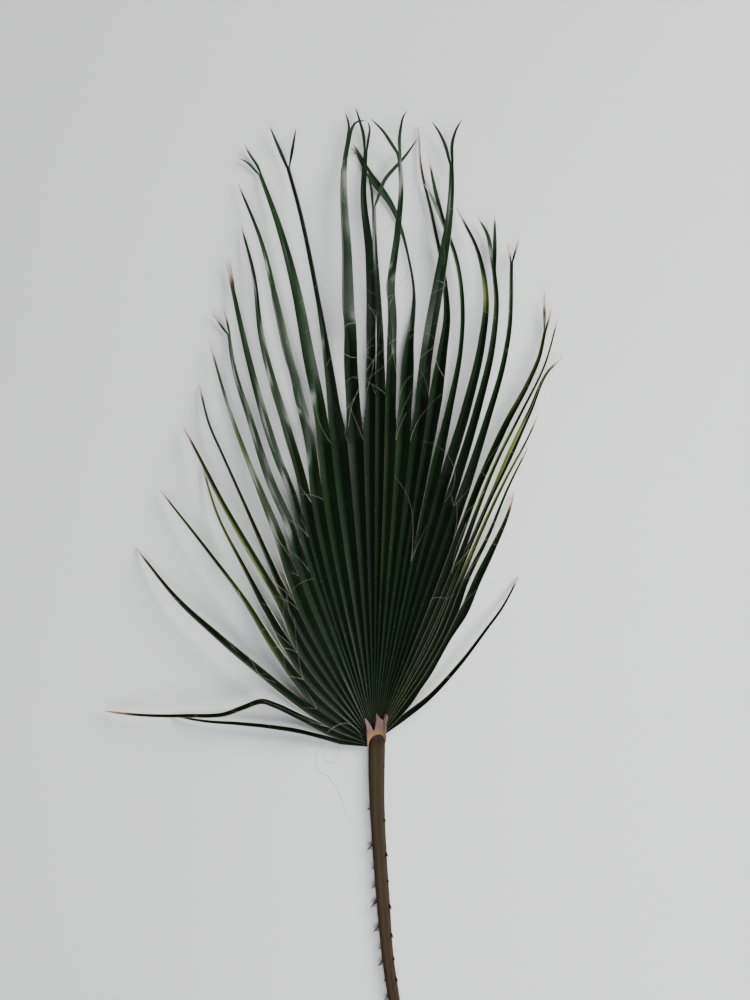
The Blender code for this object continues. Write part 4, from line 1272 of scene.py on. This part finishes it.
def smooth_section(per_side):
    """The stalk's section as a smooth closed line."""
    closed = PETIOLE_SECTION[-2:] + PETIOLE_SECTION + PETIOLE_SECTION[:2]
    dense = curve_through(closed, per_side)
    kept = dense[2 * per_side:-2 * per_side - 1][:len(PETIOLE_SECTION) * per_side]
    return [Vector((point.x, max(point.y, 0.0))) for point in kept]


def build_stalk(material):
    section = smooth_section(4)
    lengths = [0.0]
    for a, b in zip(section, section[1:]):
        lengths.append(lengths[-1] + (b - a).length)
    start, step = PETIOLE_PATH[0][0], 5.0
    stations = [(start * (1 - n / 82), 1.0, 1.0, 0.0) for n in range(83)]
    for n in range(1, 13):
        angle = NOSE_TURN * n / 12
        shrink = math.cos(angle)
        thin = NOSE_THINNEST + (1 - NOSE_THINNEST) * shrink
        stations.append((NOSE_LENGTH * math.sin(angle), shrink, thin, NOSE_LIFT * (1 - shrink)))
    dense = [(point.x, point.y) for point in curve_through(PETIOLE_PATH)]
    piece = Piece()
    before = None
    for y, shrink, thin, lift in stations:
        x = through(dense, y)
        swell = 1.03 - 0.012 * (1 + math.sin(y / 23 + 0.6 * math.sin(y / 9)))
        width = through(PETIOLE_WIDTHS, y) * shrink * swell
        brown = eased(-(y + 30) / 260)
        red = 0.55 * eased(-(y + 250) / 160) + 0.75 * eased(1 - abs(y - 2) / 12)
        ring = []
        for point, length in zip(section, lengths):
            spot = Vector((x + width * point.x, y, lift + PETIOLE_THICKNESS * thin * point.y))
            ring.append(piece.add(spot, (length * 20.0, y, 0.0), (brown, red, 0.0)))
        if before:
            for k in range(len(ring)):
                j = (k + 1) % len(ring)
                piece.faces.append((before[k], before[j], ring[j], ring[k]))
        before = ring
    nose = tuple(before)
    count = len(section)
    cut = []
    for n in range(count):
        point = piece.points[n]
        cut.append(piece.add(point.copy(), (point.x * 1.0, point.z * 1.0, 0.0), (1.0, 0.0, 1.0)))
    piece.faces.append(tuple(reversed(cut)))
    piece.faces.append(nose)
    return piece.grow("petiole_skin", material, ["petiole"], sharp=50)


def build_teeth(material):
    piece = Piece()
    sides, rings = 10, 9
    along = Vector((0.0, 1.0, 0.0))
    for side, row in ((-1, LEFT_TEETH), (1, RIGHT_TEETH)):
        out, stand = (LEFT_TOOTH_OUT, LEFT_TOOTH_STAND) if side < 0 else (RIGHT_TOOTH_OUT, RIGHT_TOOTH_STAND)
        out = Vector(out)
        flat = out.cross(along)
        for y, height in row:
            x = petiole_centre(y) + side * TOOTH_FOOT_SHARE * through(PETIOLE_WIDTHS, y)
            foot = Vector((x, y, stand * PETIOLE_THICKNESS))
            half_length = 1.2 + 0.42 * height
            half_depth = 0.9 + 0.12 * height
            before = None
            for n in range(rings):
                share = n / (rings - 1)
                breadth = through(TOOTH_PROFILE, share)
                reach = -TOOTH_SINK + (height + TOOTH_SINK) * share
                centre = foot + out * reach - along * (TOOTH_HOOK * height * share**2)
                horn = eased((share * (height + TOOTH_SINK) - TOOTH_SINK * 0.8) / 2.5)
                ring = []
                for k in range(sides):
                    turn = 2 * math.pi * k / sides
                    corner = along * half_length * math.cos(turn) + flat * half_depth * math.sin(turn)
                    spot = centre + corner * breadth
                    ring.append(piece.add(spot, (turn * 3, y + reach, 0.0), (horn, 0.0, 0.0)))
                if before:
                    for k in range(sides):
                        j = (k + 1) % sides
                        piece.faces.append((before[k], before[j], ring[j], ring[k]))
                else:
                    piece.faces.append(tuple(reversed(ring)))
                before = ring
            piece.faces.append(tuple(before))
    return piece.grow("petiole_teeth", material, ["petiole"], sharp=60)


def build_hastula(material, props):
    """The papery flap: a thin sheet with ribs, ragged along its upper edge."""
    chance = random.Random(5)
    per_span, rows = 5, 16
    feet = curve_through([foot for foot, _ in HASTULA_COLUMNS], per_span)
    edges = curve_through([edge for _, edge in HASTULA_COLUMNS], per_span)
    half = props.thickness / MM / 2
    piece = Piece()
    columns = []
    for n, (foot, edge) in enumerate(zip(feet, edges)):
        torn = foot.lerp(edge, 1 - chance.uniform(0, 0.07))
        length = (torn - foot).length
        outer = abs(2 * n / (len(feet) - 1) - 1)
        ribbed = 0.25 * math.sin(n * 1.9)
        column = []
        for row in range(rows + 1):
            share = row / rows
            place = foot.lerp(torn, share)
            level = HASTULA_FOOT_HEIGHT + HASTULA_SLOPE * length * math.sin(share * math.pi / 2)
            level += ribbed * share + 0.4 + 0.5 * math.sin(n * 0.45 + share * 3) * share
            level = min(level, cad_high.z / MM)
            red = max(eased((share - 0.9) / 0.1) * 0.8, eased((outer - 0.86) / 0.14) * 0.7)
            rim = eased(1 - share * length / 10.0)
            lie = (n * 0.6, share * length, 0.0)
            looked = (red, rim, 0.0)
            column.append((
                piece.add(raised(place, level + half), lie, looked),
                piece.add(raised(place, level - half), lie, looked),
            ))
        columns.append(column)
    for a, b in zip(columns, columns[1:]):
        for low, high, far_low, far_high in zip(a, a[1:], b, b[1:]):
            piece.faces.append((low[0], far_low[0], far_high[0], high[0]))
            piece.faces.append((far_low[1], low[1], high[1], far_high[1]))
        piece.faces.append((a[0][1], b[0][1], b[0][0], a[0][0]))
        piece.faces.append((b[-1][1], a[-1][1], a[-1][0], b[-1][0]))
    for column, first in ((columns[0], True), (columns[-1], False)):
        for low, high in zip(column, column[1:]):
            wall = (low[0], high[0], high[1], low[1])
            piece.faces.append(wall if first else wall[::-1])
    return piece.grow("hastula_flap", material, ["hastula"], sharp=60)


def build_floor(props):
    size = 30.0
    mesh = bpy.data.meshes.new("floor")
    corners = [(-size, -size, 0), (size, -size, 0), (size, size, 0), (-size, size, 0)]
    mesh.from_pydata(corners, [], [(0, 1, 2, 3)])
    made, nodes, shader = new_material("pale_floor", 0.85, 0.2)
    place = nodes.add("ShaderNodeTexCoord").outputs["Object"]
    uneven = nodes.ramp(nodes.noise(place, detail=3.0, scale=1.5), 0.3, 0.7)
    nodes.feed(shader["Base Color"], nodes.mix(uneven, colour(props.floor), colour([c * 0.97 for c in props.floor])))
    mesh.materials.append(made)
    floor = bpy.data.objects.new("floor", mesh)
    bpy.context.scene.collection.objects.link(floor)


def build_lamp(name, place, size, spread, power, tint):
    """A square lamp that points at the lower right of the view, so that the light falls off from there."""
    lamp = bpy.data.lights.new(name, "AREA")
    lamp.shape = "SQUARE"
    lamp.size = size
    lamp.spread = spread
    lamp.energy = power
    lamp.color = tint
    made = bpy.data.objects.new(name, lamp)
    made.location = place
    made.rotation_euler = (Vector(LAMP_TARGET) - Vector(place)).to_track_quat("-Z", "Y").to_euler()
    bpy.context.scene.collection.objects.link(made)


def build_camera(props):
    centre = (VIEW_CENTRE - REST_POINT) * MM
    camera = bpy.data.cameras.new("camera")
    made = bpy.data.objects.new("camera", camera)
    made.location = (centre.x, centre.y, props.distance)
    camera.lens = camera.sensor_width * props.distance / (VIEW_HEIGHT * MM)
    camera.clip_end = 10 * props.distance
    bpy.context.scene.collection.objects.link(made)
    bpy.context.scene.camera = made


class PALM_OT_blade(bpy.types.Operator):
    """Build the pleated blade, one piece for each segment"""
    bl_idname = "palm.blade"
    bl_label = "Blade"

    def execute(self, context):
        props = context.scene.palm_blade
        material = blade_material(props)
        fan = Fan(props.step / MM)
        for i in range(len(SEGMENTS)):
            build_segment(fan, i, material, props)
        return {"FINISHED"}


class PALM_OT_threads(bpy.types.Operator):
    """Build the pale threads that come loose from the blade's margins"""
    bl_idname = "palm.threads"
    bl_label = "Threads"

    def execute(self, context):
        props = context.scene.palm_threads
        build_threads(thread_material(props), props, context.scene.palm_blade.step)
        return {"FINISHED"}


class PALM_OT_stalk(bpy.types.Operator):
    """Build the stalk and its hooked teeth"""
    bl_idname = "palm.stalk"
    bl_label = "Stalk and teeth"

    def execute(self, context):
        props = context.scene.palm_stalk
        build_stalk(stalk_material(props))
        build_teeth(tooth_material(props))
        return {"FINISHED"}


class PALM_OT_hastula(bpy.types.Operator):
    """Build the papery flap where the stalk meets the blade"""
    bl_idname = "palm.hastula"
    bl_label = "Hastula"

    def execute(self, context):
        props = context.scene.palm_hastula
        build_hastula(hastula_material(props), props)
        return {"FINISHED"}


class PALM_OT_studio(bpy.types.Operator):
    """Build the floor, the lamps and the camera that looks down on the leaf"""
    bl_idname = "palm.studio"
    bl_label = "Studio"

    def execute(self, context):
        props = context.scene.palm_studio
        build_floor(props)
        level = KEY_DISTANCE * math.cos(props.rise)
        place = level * math.cos(props.turn), level * math.sin(props.turn), KEY_DISTANCE * math.sin(props.rise)
        build_lamp("key", place, KEY_SIZE, KEY_SPREAD, props.key, (1.0, 0.99, 0.97))
        build_lamp("fill", FILL_PLACE, FILL_SIZE, FILL_SPREAD, props.fill, (0.97, 0.98, 1.0))
        world = bpy.data.worlds.new("studio")
        world.use_nodes = True
        sky = world.node_tree.nodes["Background"].inputs
        sky["Color"].default_value = (0.86, 0.89, 0.93, 1.0)
        sky["Strength"].default_value = props.sky
        context.scene.world = world
        build_camera(props)
        return {"FINISHED"}


class PALM_PT_panel(bpy.types.Panel):
    bl_label = "Palm leaf"
    bl_idname = "PALM_PT_panel"
    bl_space_type = "VIEW_3D"
    bl_region_type = "UI"
    bl_category = "Palm leaf"

    def draw(self, context):
        for step in STEPS:
            self.layout.operator(step.bl_idname)


GROUPS = (
    ("palm_blade", BladeProps),
    ("palm_threads", ThreadProps),
    ("palm_stalk", StalkProps),
    ("palm_hastula", HastulaProps),
    ("palm_studio", StudioProps),
)
STEPS = (PALM_OT_blade, PALM_OT_threads, PALM_OT_stalk, PALM_OT_hastula, PALM_OT_studio)


def register():
    for label, group in GROUPS:
        bpy.utils.register_class(group)
        setattr(bpy.types.Scene, label, PointerProperty(type=group))
    for one in STEPS + (PALM_PT_panel,):
        bpy.utils.register_class(one)


def unregister():
    for one in reversed(STEPS + (PALM_PT_panel,)):
        bpy.utils.unregister_class(one)
    for label, group in reversed(GROUPS):
        delattr(bpy.types.Scene, label)
        bpy.utils.unregister_class(group)


def main():
    register()
    bpy.ops.palm.blade()
    bpy.ops.palm.threads()
    bpy.ops.palm.stalk()
    bpy.ops.palm.hastula()
    bpy.ops.palm.studio()


if __name__ == "__main__":
    main()
